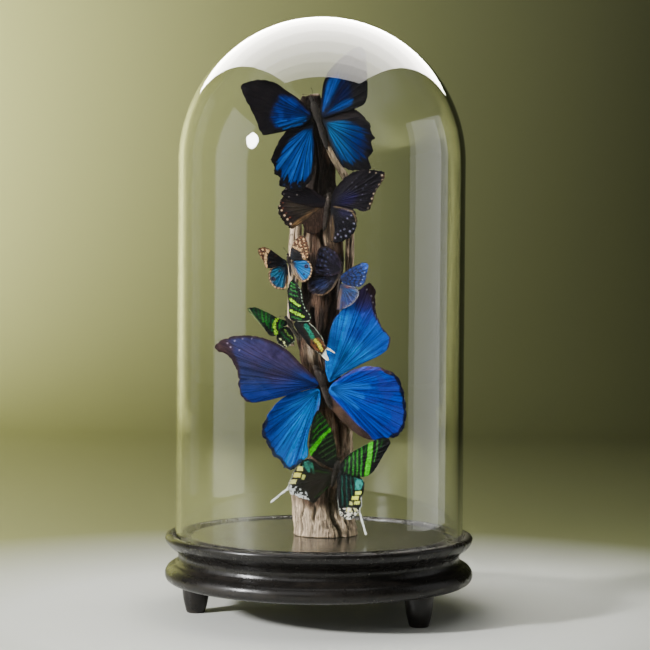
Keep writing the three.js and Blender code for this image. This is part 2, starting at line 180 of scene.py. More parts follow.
def dist_poly(P, poly):
    """distance from points P (N,2) to an open polyline, and the fraction along it of the nearest point"""
    P = np.asarray(P, float); poly = np.asarray(poly, float)
    best = np.full(len(P), 1e9); frac = np.zeros(len(P))
    seg = np.linalg.norm(np.diff(poly, axis=0), axis=1); tot = max(1e-9, seg.sum()); acc = 0
    for a, b, L in zip(poly[:-1], poly[1:], seg):
        d = b - a; t = np.clip(((P - a) @ d) / max(1e-12, d @ d), 0, 1)
        q = P - a - t[:, None] * d
        r = np.sqrt((q * q).sum(1))
        m = r < best
        best = np.where(m, r, best); frac = np.where(m, (acc + t * L) / tot, frac)
        acc += L
    return best, frac


def inside(P, poly):
    P = np.asarray(P, float); poly = np.asarray(poly, float)
    x, y = P[:, 0], P[:, 1]; res = np.zeros(len(P), bool)
    xj, yj = poly[-1]
    for xi, yi in poly:
        c = ((yi > y) != (yj > y)) & (x < (xj - xi) * (y - yi) / ((yj - yi) if yj != yi else 1e-12) + xi)
        res ^= c
        xj, yj = xi, yi
    return res


# ------------------------------------------------------------------ mesh helpers
def make_mesh(name, verts_mm, faces, smooth=True, colors=None, floats=None):
    me = bpy.data.meshes.new(name)
    me.from_pydata((np.asarray(verts_mm, float) / 1000).tolist(), [], [tuple(int(i) for i in f) for f in faces])
    me.validate()
    if smooth:
        me.polygons.foreach_set("use_smooth", [True] * len(me.polygons))
    if colors is not None:
        a = me.color_attributes.new("Col", "FLOAT_COLOR", "POINT")
        c = np.concatenate([np.clip(colors, 0, 1), np.ones((len(colors), 1))], 1)
        a.data.foreach_set("color", c.ravel())
    for k, v in (floats or {}).items():
        a = me.attributes.new(k, "FLOAT", "POINT")
        a.data.foreach_set("value", np.asarray(v, float))
    me.update()
    ob = bpy.data.objects.new(name, me)
    bpy.context.scene.collection.objects.link(ob)
    return ob


def join_parts(parts):
    """[(verts, faces, colors), ...] into one set"""
    V, Fc, C = [], [], []; n = 0
    for v, f, c in parts:
        v = np.asarray(v, float)
        V.append(v); Fc += [tuple(int(i) + n for i in q) for q in f]
        C.append(np.asarray(c, float) if np.ndim(c) == 2 else np.tile(np.asarray(c, float), (len(v), 1)))
        n += len(v)
    return np.concatenate(V), Fc, np.concatenate(C)


def lathe(profile, segs, cx=0.0, cy=0.0, z0=0.0, wobble=None):
    """closed turning from [r, z]; first and last points may lie on the axis"""
    prof = np.asarray(profile, float); n = len(prof)
    th = np.arange(segs) / segs * 2 * np.pi
    V = []; rows = []
    for r, z in prof:
        if r < 1e-6:
            rows.append([len(V)]); V.append((cx, cy, z + z0)); continue
        rr = np.full(segs, r)
        if wobble is not None: rr = rr + wobble(th, r, z)
        rows.append(list(range(len(V), len(V) + segs)))
        V += [(cx + a * math.cos(t), cy + a * math.sin(t), z + z0) for a, t in zip(rr, th)]
    Fc = []
    for a, b in zip(rows[:-1], rows[1:]):
        for i in range(segs):
            j = (i + 1) % segs
            if len(a) == 1 and len(b) == 1: continue
            if len(a) == 1: Fc.append((a[0], b[j], b[i]))
            elif len(b) == 1: Fc.append((a[i], a[j], b[0]))
            else: Fc.append((a[i], a[j], b[j], b[i]))
    if len(rows[0]) > 1:      # profile closes on itself
        a, b = rows[-1], rows[0]
        for i in range(segs):
            j = (i + 1) % segs
            Fc.append((a[i], a[j], b[j], b[i]))
    return np.array(V), Fc


def tube(path, radii, sides=8, color=(0.02, 0.015, 0.01)):
    """closed tube along a path with round ends"""
    P = np.asarray(path, float); n = len(P)
    T = np.gradient(P, axis=0); T /= np.linalg.norm(T, axis=1, keepdims=True)
    ref = np.array([0, 0, 1.0]) if abs(T[0][2]) < 0.9 else np.array([1.0, 0, 0])
    N = unit(np.cross(T[0], ref)); V = []
    for i in range(n):
        N = unit(N - T[i] * (N @ T[i])); B = np.cross(T[i], N)
        for k in range(sides):
            a = 2 * np.pi * k / sides
            V.append(P[i] + radii[i] * (math.cos(a) * N + math.sin(a) * B))
    Fc = []
    for i in range(n - 1):
        for k in range(sides):
            j = (k + 1) % sides
            Fc.append((i * sides + k, i * sides + j, (i + 1) * sides + j, (i + 1) * sides + k))
    a = len(V); V.append(P[0] - T[0] * radii[0] * 0.6); V.append(P[-1] + T[-1] * radii[-1] * 0.6)
    for k in range(sides):
        j = (k + 1) % sides
        Fc.append((a, j, k)); Fc.append((a + 1, (n - 1) * sides + k, (n - 1) * sides + j))
    return np.array(V), Fc, color


# ------------------------------------------------------------------ material helpers
class Mat:
    def __init__(self, name):
        self.m = bpy.data.materials.new(name); self.m.use_nodes = True
        self.nt = self.m.node_tree; self.bsdf = self.nt.nodes["Principled BSDF"]
        self.out = self.nt.nodes["Material Output"]
        self._tc = None

    def node(self, kind, **kw):
        n = self.nt.nodes.new(kind)
        for k, v in kw.items():
            if k.startswith("in_"):
                key = k[3:].replace("_", " ")
                n.inputs[key].default_value = v
            else:
                setattr(n, k, v)
        return n

    def link(self, a, b): self.nt.links.new(a, b)

    def coord(self, scale=(1, 1, 1)):
        if self._tc is None: self._tc = self.node("ShaderNodeTexCoord")
        mp = self.node("ShaderNodeMapping"); mp.inputs["Scale"].default_value = scale
        self.link(self._tc.outputs["Object"], mp.inputs["Vector"])
        return mp.outputs["Vector"]

    def noise(self, scale, detail=4, rough=0.6, stretch=(1, 1, 1), distortion=0.0):
        n = self.node("ShaderNodeTexNoise"); n.inputs["Scale"].default_value = scale
        n.inputs["Detail"].default_value = detail; n.inputs["Roughness"].default_value = rough
        n.inputs["Distortion"].default_value = distortion
        self.link(self.coord(stretch), n.inputs["Vector"])
        return n.outputs["Fac"]

    def ramp(self, fac, stops, interp="LINEAR"):
        r = self.node("ShaderNodeValToRGB"); e = r.color_ramp.elements; r.color_ramp.interpolation = interp
        while len(e) < len(stops): e.new(0.5)
        for s, (p, c) in zip(e, stops):
            s.position = p
            s.color = (c, c, c, 1) if np.ndim(c) == 0 else (*c, 1)
        self.link(fac, r.inputs["Fac"])
        return r.outputs["Color"]

    def maprange(self, fac, a, b, c, d):
        n = self.node("ShaderNodeMapRange"); n.inputs["From Min"].default_value = a; n.inputs["From Max"].default_value = b
        n.inputs["To Min"].default_value = c; n.inputs["To Max"].default_value = d
        self.link(fac, n.inputs["Value"]); return n.outputs["Result"]

    def mix(self, fac, a, b, mode="MIX"):
        n = self.node("ShaderNodeMix", data_type="RGBA", blend_type=mode)
        for s, v in ((0, fac), (6, a), (7, b)):
            if isinstance(v, bpy.types.NodeSocket): self.link(v, n.inputs[s])
            else: n.inputs[s].default_value = v if s == 0 else ((*v, 1) if len(v) == 3 else v)
        return n.outputs[2]

    def math(self, op, a, b=0.0):
        n = self.node("ShaderNodeMath", operation=op)
        for i, v in enumerate((a, b)):
            if isinstance(v, bpy.types.NodeSocket): self.link(v, n.inputs[i])
            else: n.inputs[i].default_value = v
        return n.outputs[0]

    def attr(self, name, out="Color"):
        n = self.node("ShaderNodeAttribute", attribute_name=name)
        return n.outputs[out]

    def bump(self, height, strength, distance, normal=None):
        n = self.node("ShaderNodeBump"); n.inputs["Strength"].default_value = strength
        n.inputs["Distance"].default_value = distance
        self.link(height, n.inputs["Height"])
        if normal is not None: self.link(normal, n.inputs["Normal"])
        return n.outputs["Normal"]

    def set(self, key, v):
        s = self.bsdf.inputs[key]
        if isinstance(v, bpy.types.NodeSocket): self.link(v, s)
        else: s.default_value = v if not (np.ndim(v) == 1 and len(v) == 3) else (*v, 1)


def give(ob, mat):
    ob.data.materials.clear(); ob.data.materials.append(mat.m if isinstance(mat, Mat) else mat)
    return ob

# outlines of the wings and places of the bodies, in picture pixels, for the work further down
INSECTS = {}
INSECTS['longwing'] = dict(  # 1 top black and blue
 c=(318,119), depth=-18.0, axis=((328,149),(312,97)), n=(0.02,-1,0.06), dih=(12,12), body=dict(h=(312.3,95),t=(328,150),rt=3.0,ra=2.0),
 fL=[(241.4,85.6),(259.3,80.1),(275.5,83.4),(286.4,91),(298.3,99.1),(305.9,107.2),(312,113),(310.3,120),(304.8,124.6),(295,128.9),(283.1,132.2),(272.3,134.4),(263.6,135.4),(259.8,131.1),(257.1,123.5),(253.3,114.8),(249.5,107.2),(244.1,96.4)],
 fR=[(321.1,115.9),(322.2,92),(324.4,81.2),(330.9,69.3),(341.7,58.4),(352.6,49.8),(361.2,46.5),(365.6,51.9),(366.7,67.1),(367.7,85.6),(367.2,97.5),(364.5,104),(351.5,110.5),(338.5,113.8),(323.3,118.1)],
 hR=[(322.6,119.1),(338,113.5),(352.6,109),(363.4,115.9),(371,125.7),(372.1,133.3),(375.3,138.7),(371.5,143),(373.2,151.7),(368.8,157.1),(369.9,163.6),(371,169),(354.7,171.2),(343.9,168),(336.3,157.1),(329.8,144.1),(326.5,130)],
 hL=[(312,121),(299.4,127.1),(286.4,131.3),(277.7,143),(273.4,152.8),(270.7,160.4),(273.4,164.7),(274.5,174.5),(279.9,177.7),(278.8,184.3),(286.4,189.7),(297.2,191.8),(308.1,184.3),(313.5,170.2),(314.6,148.5),(313.5,135.4)])
INSECTS['crow'] = dict(  # 2 dark brown with pale dots
 c=(328,203), depth=-21.0, axis=((326,229),(331,194)), n=(0.05,-1,0.0), dih=(0,14), body=dict(h=(331,193),t=(325,231),rt=2.7,ra=1.9),
 fR=[(331,201.1),(334.2,190.6),(343.8,179.1),(353.3,172.4),(364.8,170),(382.1,171.5),(385.4,173.4),(383,181),(377.3,189.7),(373.4,200.2),(369.6,209.8),(364.8,211.7),(354.3,208.8),(341.9,206.5),(331.3,205)],
 hR=[(331.4,205),(341,204),(352.5,206.8),(356.3,214.5),(357.2,225.1),(353.3,234.6),(345.7,240.4),(336.1,243.3),(330.3,241.3),(329.3,227),(330.4,213.6)],
 fL=[(326,200),(319,194),(308,187.5),(296,184.5),(287,186.5),(281.6,194),(286,199),(296,203.5),(309,206.5),(325,206)],
 hL=[(324.8,203.1),(309,202.5),(296,200),(284,196),(278.8,204),(278.7,213.6),(283.5,222.2),(291.1,228.9),(297.5,226.0),(301.5,224.0),(304.5,229.5),(309.5,233.8),(316.5,234.2),(322,228),(323.6,216)])
INSECTS['pansy'] = dict(  # 3 blue pansy
 c=(289.2,263), depth=-20.5, axis=((290,275),(287.5,254)), n=(-0.06,-1,0.03), dih=(14,10), body=dict(h=(287.3,253),t=(290.6,277),rt=1.5,ra=1.0),
 fL=[(258.6,249),(264.4,247.1),(274.9,252.8),(282,258),(286.6,261),(286,264.4),(278.7,266.2),(266.3,268.1),(263.4,261.4),(259.1,254.7)],
 hL=[(286.4,263.6),(277,265.2),(270.5,268.6),(268.2,274.8),(270.1,283.4),(276.8,289.2),(285.4,289.2),(288.2,281.5),(288.4,272)],
 fR=[(291.1,259.5),(290.6,250.9),(295.9,239.4),(302.6,235.6),(307.4,242.3),(309.3,251.9),(307.4,258.6),(299,260.5)],
 hR=[(291.6,262.4),(298,259.6),(305.6,258.4),(311.2,263.3),(312.7,270),(309.3,279.6),(302.6,282.5),(296,277.5),(292.1,272.9)])
INSECTS['cracker'] = dict(  # 4 raised right wings, dark left wings
 c=(340,279), depth=-17.5, axis=((337,296),(341.6,264)), n=(0.0,-1,0.0), dih=(0,38), body=dict(h=(341.9,262),t=(336.4,300),rt=1.5,ra=1.0),
 fL=[(318.9,249),(324.6,246.1),(331.3,249),(339,256.7),(341.4,266),(340,272.5),(333,275.5),(324,276.3),(315.1,274.8),(314.2,268),(316.2,258)],
 hL=[(339,272.8),(338.6,277.8),(333.3,288.3),(321.8,295.9),(309.3,291.1),(308.4,283.4),(314.1,276.2),(324,273.5),(333,273)],
 fR=[(341.4,281.7),(341,276),(345.5,271.9),(351.6,267.9),(356.7,265.3),(362.3,262.8),(368,263.8),(368.5,267.9),(366.9,274.5),(365.4,281.6),(361.8,286.2),(356.7,286.9),(348.6,285.2)],
 hR=[(341,283.9),(352.7,285.2),(357.8,289.3),(359.3,294.9),(355.7,301),(350.6,305.6),(341.4,309.7),(336.3,309.7),(335.5,303),(338,293.4)])
INSECTS['sunset'] = dict(  # 5 small green and black moth with white tails
 c=(290,324), depth=-29.0, axis=((299,341),(284.5,317)), n=(-0.03,-1,0.0), dih=(10,6), body=dict(h=(284,316.5),t=(299,341.5),rt=1.9,ra=1.4),
 fL=[(247.9,309),(254.6,307.4),(262.9,310.3),(271.8,314.7),(279.4,318.6),(286.4,321.1),(287,325),(283.4,327.3),(278.8,334.5),(270.5,335.8),(264.8,329.4),(256.5,319.2)],
 fR=[(292.2,279.7),(287.7,289.9),(288.3,299.4),(289,311.9),(290.5,319.2),(293.5,321),(308.8,321.6),(311.3,316.7),(307.5,310.9),(303.7,303.3),(301.8,291.8),(297.9,284.1)],
 hR=[(294,323.3),(301,320.3),(307.6,321.3),(313.9,326.5),(319,332.6),(323.4,339),(324.7,344.1),(334.3,352),(335.4,354),(326.5,349.5),(326.4,353),(328.9,360.3),(327,361),(320.3,354.5),(311.3,347.9),(303,338.2)],
 hL=[(287.9,327),(281,328.5),(276.9,335.4),(277.2,341),(280.7,345.4),(285.8,347.9),(291.5,344),(295,340)])
INSECTS['morpho'] = dict(  # 6 large blue
 c=(323,386), depth=-23.0, axis=((331,407),(316.5,368)), n=(0.0,-1,0.02), dih=(11,-9), body=dict(h=(315.5,364.5),t=(331.5,410),rt=3.2,ra=2.4),
 fL=[(215.3,346.7),(218.7,341.9),(232.4,336.5),(253,335.8),(270.8,340.6),(287.3,350.2),(301,363.9),(313,375.6),(318.5,384.8),(301,391.3),(281.8,396.8),(265.3,400.9),(248.9,402.3),(242,396.8),(238.6,387.2),(237.9,374.8),(234.5,365.2),(229.7,357),(224.2,352.9),(218,350.9)],
 hL=[(318.8,389.3),(301,391.5),(287.3,395.2),(274.9,404.8),(265.3,418.7),(261.2,429.7),(261.9,435.2),(266.7,443.4),(273.6,455.7),(281.8,462.6),(284.5,468.1),(292.8,469.5),(301,462.6),(307.4,455.7),(307.0,443.4),(310.0,427),(318.8,409.1)],
 fR=[(328.4,380.3),(325.3,369),(325.3,355.8),(328.7,334.7),(334,319),(339.2,312.6),(350,299.5),(361,288),(368.7,283.2),(375,288.4),(375,299),(376,312.6),(382.4,328.4),(389.7,337.9),(387.6,348.4),(380.3,354.7),(361.3,364.2),(340.3,375.7),(329.7,382.1)],
 hR=[(329.8,387.6),(340,377.5),(352,370),(368,366.4),(383.3,368.4),(397,376.2),(402.5,388.6),(405.2,402.3),(405.9,418.7),(401.1,432.4),(392.9,437.6),(383.5,438.2),(372,440),(361,436.6),(349.5,428.6),(338,417.2),(329.0,402.5)])
INSECTS['urania'] = dict(  # 7 large green and black moth with white tails
 c=(336.5,466), depth=-27.5, axis=((334,484),(339.5,459)), n=(0.03,-1,0.0), dih=(6,10), body=dict(h=(339.9,457.5),t=(333,487),rt=2.7,ra=2.0),
 fL=[(317.4,410.5),(311.6,424.2),(308.5,446.1),(310.2,454.4),(315.7,459.5),(334.3,468.3),(336.6,463.9),(335.3,443.4),(329.8,427)],
 hL=[(333.4,472.6),(322,467),(310,458.5),(303,460.4),(297.9,465.4),(292.5,472.3),(289.2,481.4),(287.6,486),(269.9,501.6),(271.3,503.0),(289.5,489.5),(290.2,493.5),(297.9,496.5),(304,498.8),(314,502.6),(322.4,492.9),(331,484)],
 fR=[(340.4,464.5),(348.6,454.4),(362.7,446.1),(380.5,437.8),(387.4,437.8),(390.1,442),(381.9,457.1),(372.3,472.2),(365.4,476.3),(353.1,475.9),(340.0,471)],
 hR=[(338.8,471.5),(349.2,472.6),(356.8,474.6),(363.7,481.2),(364.5,488.9),(362.2,496.5),(362.2,505.7),(360.5,508),(366.8,534.2),(365.0,535.2),(358,512),(356.5,514.5),(353,518.7),(347.6,519.5),(340,514.9),(338.5,508.8),(337.0,490.9)])



# ------------------------------------------------------------------ materials
def mat_ebony():
    m = Mat("ebonised_wood")
    grain = m.noise(260, 6, 0.62, stretch=(1, 1, 5.5))
    fine = m.noise(1500, 4, 0.7)
    blot = m.noise(38, 5, 0.6, distortion=0.6)
    pits = m.node("ShaderNodeTexVoronoi", feature="F1"); pits.inputs["Scale"].default_value = 420
    m.link(m.coord((1, 1, 1.6)), pits.inputs["Vector"])
    pit = m.maprange(pits.outputs["Distance"], 0.10, 0.30, 0, 1)
    gate = m.maprange(m.noise(75, 4, 0.6), 0.52, 0.62, 0, 1)
    pit = m.math("MAXIMUM", pit, m.math("SUBTRACT", 1.0, gate))
    base = m.ramp(blot, [(0.30, (0.0040, 0.0039, 0.0038)), (0.52, (0.0065, 0.0062, 0.0060)), (0.72, (0.0120, 0.0107, 0.0096))])
    base = m.mix(m.maprange(grain, 0.35, 0.7, 0.0, 0.6), base, (0.017, 0.0140, 0.0115))
    wear = m.attr("wear", "Fac")
    scuff = m.math("MULTIPLY", wear, m.maprange(m.noise(210, 5, 0.7), 0.38, 0.62, 0.15, 1))
    base = m.mix(scuff, base, (0.040, 0.031, 0.023))
    base = m.mix(m.math("MULTIPLY", m.maprange(fine, 0.62, 0.74, 0, 1), 0.35), base, (0.060, 0.055, 0.050))
    base = m.mix(pit, (0.0035, 0.003, 0.0028), base)
    m.set("Base Color", base)
    r = m.maprange(m.noise(90, 5, 0.65), 0.3, 0.7, 0.20, 0.36)
    r = m.math("ADD", r, m.math("MULTIPLY", m.attr("polish", "Fac"), -0.12))
    r = m.math("ADD", r, m.math("MULTIPLY", wear, 0.26))
    m.set("Roughness", r)
    m.set("Specular IOR Level", 0.27)
    m.set("Coat Weight", 0.06); m.set("Coat Roughness", 0.12)
    h = m.math("ADD", m.math("MULTIPLY", grain, 0.5), m.math("MULTIPLY", pit, 0.9))
    h = m.math("ADD", h, m.math("MULTIPLY", fine, 0.18))
    m.set("Normal", m.bump(h, 0.55, 0.00022))
    return m


def mat_glass():
    m = Mat("dome_glass")
    m.set("Base Color", (0.985, 0.995, 0.985)); m.set("Transmission Weight", 1.0)
    m.set("Roughness", 0.0); m.set("IOR", 1.47)
    return m


def mat_drift():
    m = Mat("driftwood")
    col = m.attr("Col"); recess_shade = m.attr("recess_shade", "Fac")
    fib = m.noise(620, 6, 0.72, stretch=(1, 1, 0.06), distortion=0.3)
    fib2 = m.noise(230, 6, 0.62, stretch=(1, 1, 0.09), distortion=0.5)
    spec = m.noise(1500, 4, 0.7)
    ridge = m.noise(190, 5, 0.55, stretch=(1, 1, 0.10), distortion=0.8)
    crack = m.maprange(m.math("ABSOLUTE", m.math("SUBTRACT", ridge, 0.5)), 0.0, 0.022, 1, 0)
    gate = m.maprange(m.noise(60, 3, 0.5), 0.42, 0.56, 0, 1)
    crack = m.math("MULTIPLY", crack, gate)
    ridge2 = m.noise(330, 6, 0.6, stretch=(1, 0.8, 0.2), distortion=1.6)
    crack2 = m.math("MULTIPLY", m.maprange(m.math("ABSOLUTE", m.math("SUBTRACT", ridge2, 0.52)), 0.0, 0.016, 1, 0), m.maprange(m.noise(110, 3, 0.5), 0.46, 0.60, 0, 1))
    crack = m.math("MAXIMUM", crack, crack2)
    c = m.mix(m.maprange(fib, 0.34, 0.62, 0, 1), m.mix(1.0, col, (0.30, 0.27, 0.24), "MULTIPLY"), m.mix(1.0, col, (1.12, 1.10, 1.07), "MULTIPLY"))
    c = m.mix(m.maprange(fib2, 0.46, 0.66, 0.0, 0.6), c, m.mix(1.0, col, (1.45, 1.40, 1.34), "MULTIPLY"))
    c = m.mix(m.maprange(fib2, 0.34, 0.46, 0.55, 0.0), c, m.mix(1.0, c, (0.45, 0.40, 0.36), "MULTIPLY"))
    # painted shade: the colour is darkened in the furrows and cracks, where the mesh value is low
    c = m.mix(recess_shade, m.mix(0.86, c, (0.012, 0.008, 0.005)), c)
    # painted shade: the fine crack lines of the noise are darkened as well as cut in by the bump
    c = m.mix(m.math("MULTIPLY", crack, 0.85), c, (0.016, 0.010, 0.007))
    c = m.mix(m.maprange(spec, 0.62, 0.74, 0, 0.7), c, (0.02, 0.014, 0.010))
    c = m.mix(m.maprange(m.noise(1150, 3, 0.6), 0.66, 0.76, 0, 0.8), c, m.mix(1.0, col, (1.9, 1.8, 1.65), "MULTIPLY"))
    m.set("Base Color", c)
    m.set("Roughness", m.maprange(fib, 0.2, 0.8, 0.70, 0.95)); m.set("Specular IOR Level", 0.12)
    h = m.math("ADD", fib, m.math("MULTIPLY", spec, 0.35))
    h = m.math("SUBTRACT", h, m.math("MULTIPLY", crack, 1.2))
    m.set("Normal", m.bump(h, 0.9, 0.0006))
    return m


def mat_wing(name, rough=0.5, metal=0.0, grain=0.25, spec=0.12, vein=0.7, ray=0.5):
    """scales over the painted pattern: rays that run between the veins, dark raised veins, and a
    metallic share from the mesh. vein_at counts the veins across the wing, vein_gap is their
    spacing, run is the distance from the hinge."""
    m = Mat(name)
    col = m.attr("Col"); met = m.attr("gleam", "Fac"); u = m.attr("vein_at", "Fac"); gap = m.attr("vein_gap", "Fac"); run = m.attr("run", "Fac")
    line = m.math("MULTIPLY", m.math("ABSOLUTE", m.math("SUBTRACT", u, m.math("ROUND", u))), gap)
    line = m.maprange(line, 0.16, 0.55, 1, 0)
    half = m.math("MULTIPLY", m.math("ABSOLUTE", m.math("SUBTRACT", m.math("FRACT", u), 0.5)), gap)
    half = m.maprange(half, 0.05, 0.40, 0.35, 0)

    def rays(fu, fr, detail):
        c = m.node("ShaderNodeCombineXYZ"); m.link(m.math("MULTIPLY", u, fu), c.inputs[0]); m.link(m.math("MULTIPLY", run, fr), c.inputs[1])
        t = m.node("ShaderNodeTexNoise"); t.inputs["Scale"].default_value = 1.0; t.inputs["Detail"].default_value = detail; t.inputs["Roughness"].default_value = 0.6
        m.link(c.outputs[0], t.inputs["Vector"]); return t.outputs["Fac"]

    r1 = rays(2.6, 0.045, 4); r2 = rays(8.0, 0.10, 5)
    dust = m.noise(2600, 3, 0.7); rows = m.noise(1400, 4, 0.65)
    dark = m.mix(1.0, col, (0.36, 0.38, 0.46), "MULTIPLY"); lite = m.mix(1.0, col, (1.45, 1.34, 1.22), "MULTIPLY")
    c = m.mix(m.maprange(r1, 0.36, 0.56, ray, 0.0), col, dark)
    c = m.mix(m.maprange(r2, 0.52, 0.66, 0.0, ray), c, lite)
    c = m.mix(m.maprange(r2, 0.36, 0.46, ray * 0.8, 0.0), c, m.mix(1.0, c, (0.45, 0.45, 0.52), "MULTIPLY"))
    c = m.mix(m.maprange(dust, 0.25, 0.75, grain, 0.0), c, (0.003, 0.003, 0.004))
    c = m.mix(m.math("MULTIPLY", half, vein), c, (0.003, 0.003, 0.004))
    c = m.mix(m.math("MULTIPLY", line, vein), c, (0.003, 0.003, 0.005))
    m.set("Base Color", c)
    m.set("Metallic", m.math("MULTIPLY", met, metal))
    m.set("Roughness", m.math("SUBTRACT", m.maprange(r2, 0.3, 0.7, rough + 0.10, rough - 0.06), m.math("MULTIPLY", met, 0.10)))
    m.set("Specular IOR Level", spec)
    h = m.math("ADD", rows, dust); h = m.math("ADD", h, m.math("MULTIPLY", r2, 1.2)); h = m.math("ADD", h, m.math("MULTIPLY", line, 0.8))
    m.set("Normal", m.bump(h, 0.5, 0.00014))
    return m


def mat_fur():
    m = Mat("insect_fur")
    col = m.attr("Col")
    n = m.noise(1800, 5, 0.75, stretch=(1, 1, 0.4))
    c = m.mix(m.maprange(n, 0.35, 0.7, 0.0, 1.0), m.mix(0.5, col, (0.003, 0.0025, 0.0025)), m.mix(0.06, col, (0.30, 0.24, 0.18)))
    m.set("Base Color", c); m.set("Roughness", 0.82); m.set("Specular IOR Level", 0.10)
    m.set("Sheen Weight", 0.03); m.set("Sheen Roughness", 0.5)
    m.set("Normal", m.bump(n, 0.8, 0.0003))
    return m


def mat_pin():
    m = Mat("pin_steel")
    n = m.noise(900, 4, 0.6, stretch=(1, 0.08, 1))
    m.set("Base Color", m.ramp(n, [(0.3, (0.10, 0.09, 0.08)), (0.7, (0.30, 0.29, 0.27))]))
    m.set("Metallic", 1.0); m.set("Roughness", m.maprange(n, 0.3, 0.7, 0.25, 0.45))
    m.set("Normal", m.bump(n, 0.2, 0.0001))
    return m


EBONY, GLASS, DRIFT, FUR, PIN = mat_ebony(), mat_glass(), mat_drift(), mat_fur(), mat_pin()

# ------------------------------------------------------------------ turned base
U, PLATEAU_Z, PLATEAU_R, GROOVE_Z, LIP_IN = 21.4, 51.7, 83.6, 48.5, 96.4


def base_profile():
    a = catmull([[0, U], [60, U], [92, U + 0.02], [96.6, U + 0.06], [99.6, 22.2], [101.5, 23.8], [102.25, 26.2], [101.85, 28.9], [100.3, 31.3], [97.6, 33.1]], 0.7, closed=False)
    b = catmull([[97.6, 33.1], [95.4, 33.9], [94.3, 34.9], [93.6, 36.8], [93.6, 39.4], [95.3, 42.2], [98.5, 44.6], [101.1, 47.3], [102.2, 50.0], [101.75, 51.8], [100.2, 52.7], [98.6, 52.75], [97.4, 52.35], [96.7, 51.4]], 0.5, closed=False, corners=(0, 2))
    c = catmull([[96.7, 51.4], [96.45, 50.4], [96.3, 49.0], [95.7, GROOVE_Z], [92.0, GROOVE_Z - 0.05], [88.4, GROOVE_Z + 0.02], [86.6, 48.9], [85.5, 49.8], [84.9, 50.9], [84.3, 51.55], [83.2, PLATEAU_Z], [80.0, PLATEAU_Z - 0.02], [60, PLATEAU_Z], [30, PLATEAU_Z], [0, PLATEAU_Z]], 0.6, closed=False, corners=(0, 3))
    return np.concatenate([a[:-1], b[:-1], c])


def base_wobble(th, r, z):
    P = np.stack([np.cos(th) * r * 0.03, np.sin(th) * r * 0.03, np.full_like(th, z * 0.11)], -1)
    w = -0.22 * np.abs(fbm(P * 3.0, 11, 3)) - 0.10 * np.abs(vnoise(P * 11, 5))
    if z > 50 and r < 90: w = w * 0.2
    return w


prof = base_profile()
V, Fc = lathe(prof, 168, wobble=base_wobble)
rad = np.hypot(V[:, 0], V[:, 1]); ang = np.arctan2(V[:, 1], V[:, 0])
NP = np.stack([np.cos(ang) * 5, np.sin(ang) * 5, V[:, 2] * 0.12], -1)
lip = sm(V[:, 2], 50.6, 52.2) * sm(rad, 97.0, 98.4)
belly = np.exp(-((V[:, 2] - 26.5) / 2.2) ** 2) * (rad > 99)
waist = np.exp(-((V[:, 2] - 33.6) / 1.0) ** 2) * (rad > 90)
wear = np.clip(lip * (0.08 + 0.4 * fbm(NP * 1.5, 3)) + belly * (0.20 + 0.5 * fbm(NP * 2, 4)) + waist * (0.22 + 0.4 * fbm(NP * 2, 6)), 0, 1)
polish = sm(-rad, -84.5, -83.0) * (V[:, 2] > 50)
base = give(make_mesh("turned_base", V, Fc, floats={"wear": wear, "polish": polish}), EBONY)
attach(base, "root"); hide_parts("base_plinth")

FEET = {"left": 184, "front_right": -38, "back_right": 50}
for side, a in FEET.items():
    a = math.radians(a)
    p = catmull([[0, 0], [4.6, 0.0], [5.55, 0.05], [6.1, 0.5], [6.7, 2.0], [7.6, 5.2], [8.55, 10.2], [9.15, 15.2], [9.35, 18.5], [9.35, 21.0], [0, 21.1]], 0.6, closed=False, corners=(1, 9))
    wob = lambda th, r, z, s=side: 0.10 * vnoise(np.stack([np.cos(th) * 2, np.sin(th) * 2, np.full_like(th, z * 0.2 + len(s))], -1), 9) - 0.1
    V, Fc = lathe(p, 56, 81.5 * math.cos(a), 81.5 * math.sin(a), wobble=wob)
    wr = np.clip(np.exp(-(V[:, 2] / 1.6) ** 2) * 0.6 + 0.12, 0, 1)
    V[:, 2] = np.maximum(V[:, 2], 0.03)
    foot = give(make_mesh("turned_foot_" + side, V, Fc, floats={"wear": wr, "polish": np.zeros(len(V))}), EBONY)
    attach(foot, "root"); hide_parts("foot_" + side)

# ------------------------------------------------------------------ glass dome
RO, WALL, ZB, ZS = 95.5, 3.0, 48.9, 299.6
RI = RO - WALL
wall_z = [ZB + 1.2, ZB + 1.45, ZB + 1.9, ZB + 2.8] + list(np.linspace(ZB + 5.0, ZS, 13))
out = [[RO, z] for z in wall_z]
out += [[RO * math.cos(t), ZS + RO * math.sin(t)] for t in np.linspace(0, np.pi / 2, 68)[1:-1]] + [[0, ZS + RO]]
inn = [[0, ZS + RI]] + [[RI * math.cos(t), ZS + RI * math.sin(t)] for t in np.linspace(np.pi / 2, 0, 68)[1:-1]]
inn += [[RI, z] for z in wall_z[::-1]]
rim = [[RI + 1.5 - 1.5 * math.cos(t), ZB + 1.2 - 1.2 * math.sin(t)] for t in np.linspace(0, np.pi, 12)[1:-1]]
V, Fc = lathe(out + inn + rim, 256)
dome = give(make_mesh("blown_glass_dome", V, Fc), GLASS)
dome.visible_shadow = False
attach(dome, "root"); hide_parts("glass_dome")

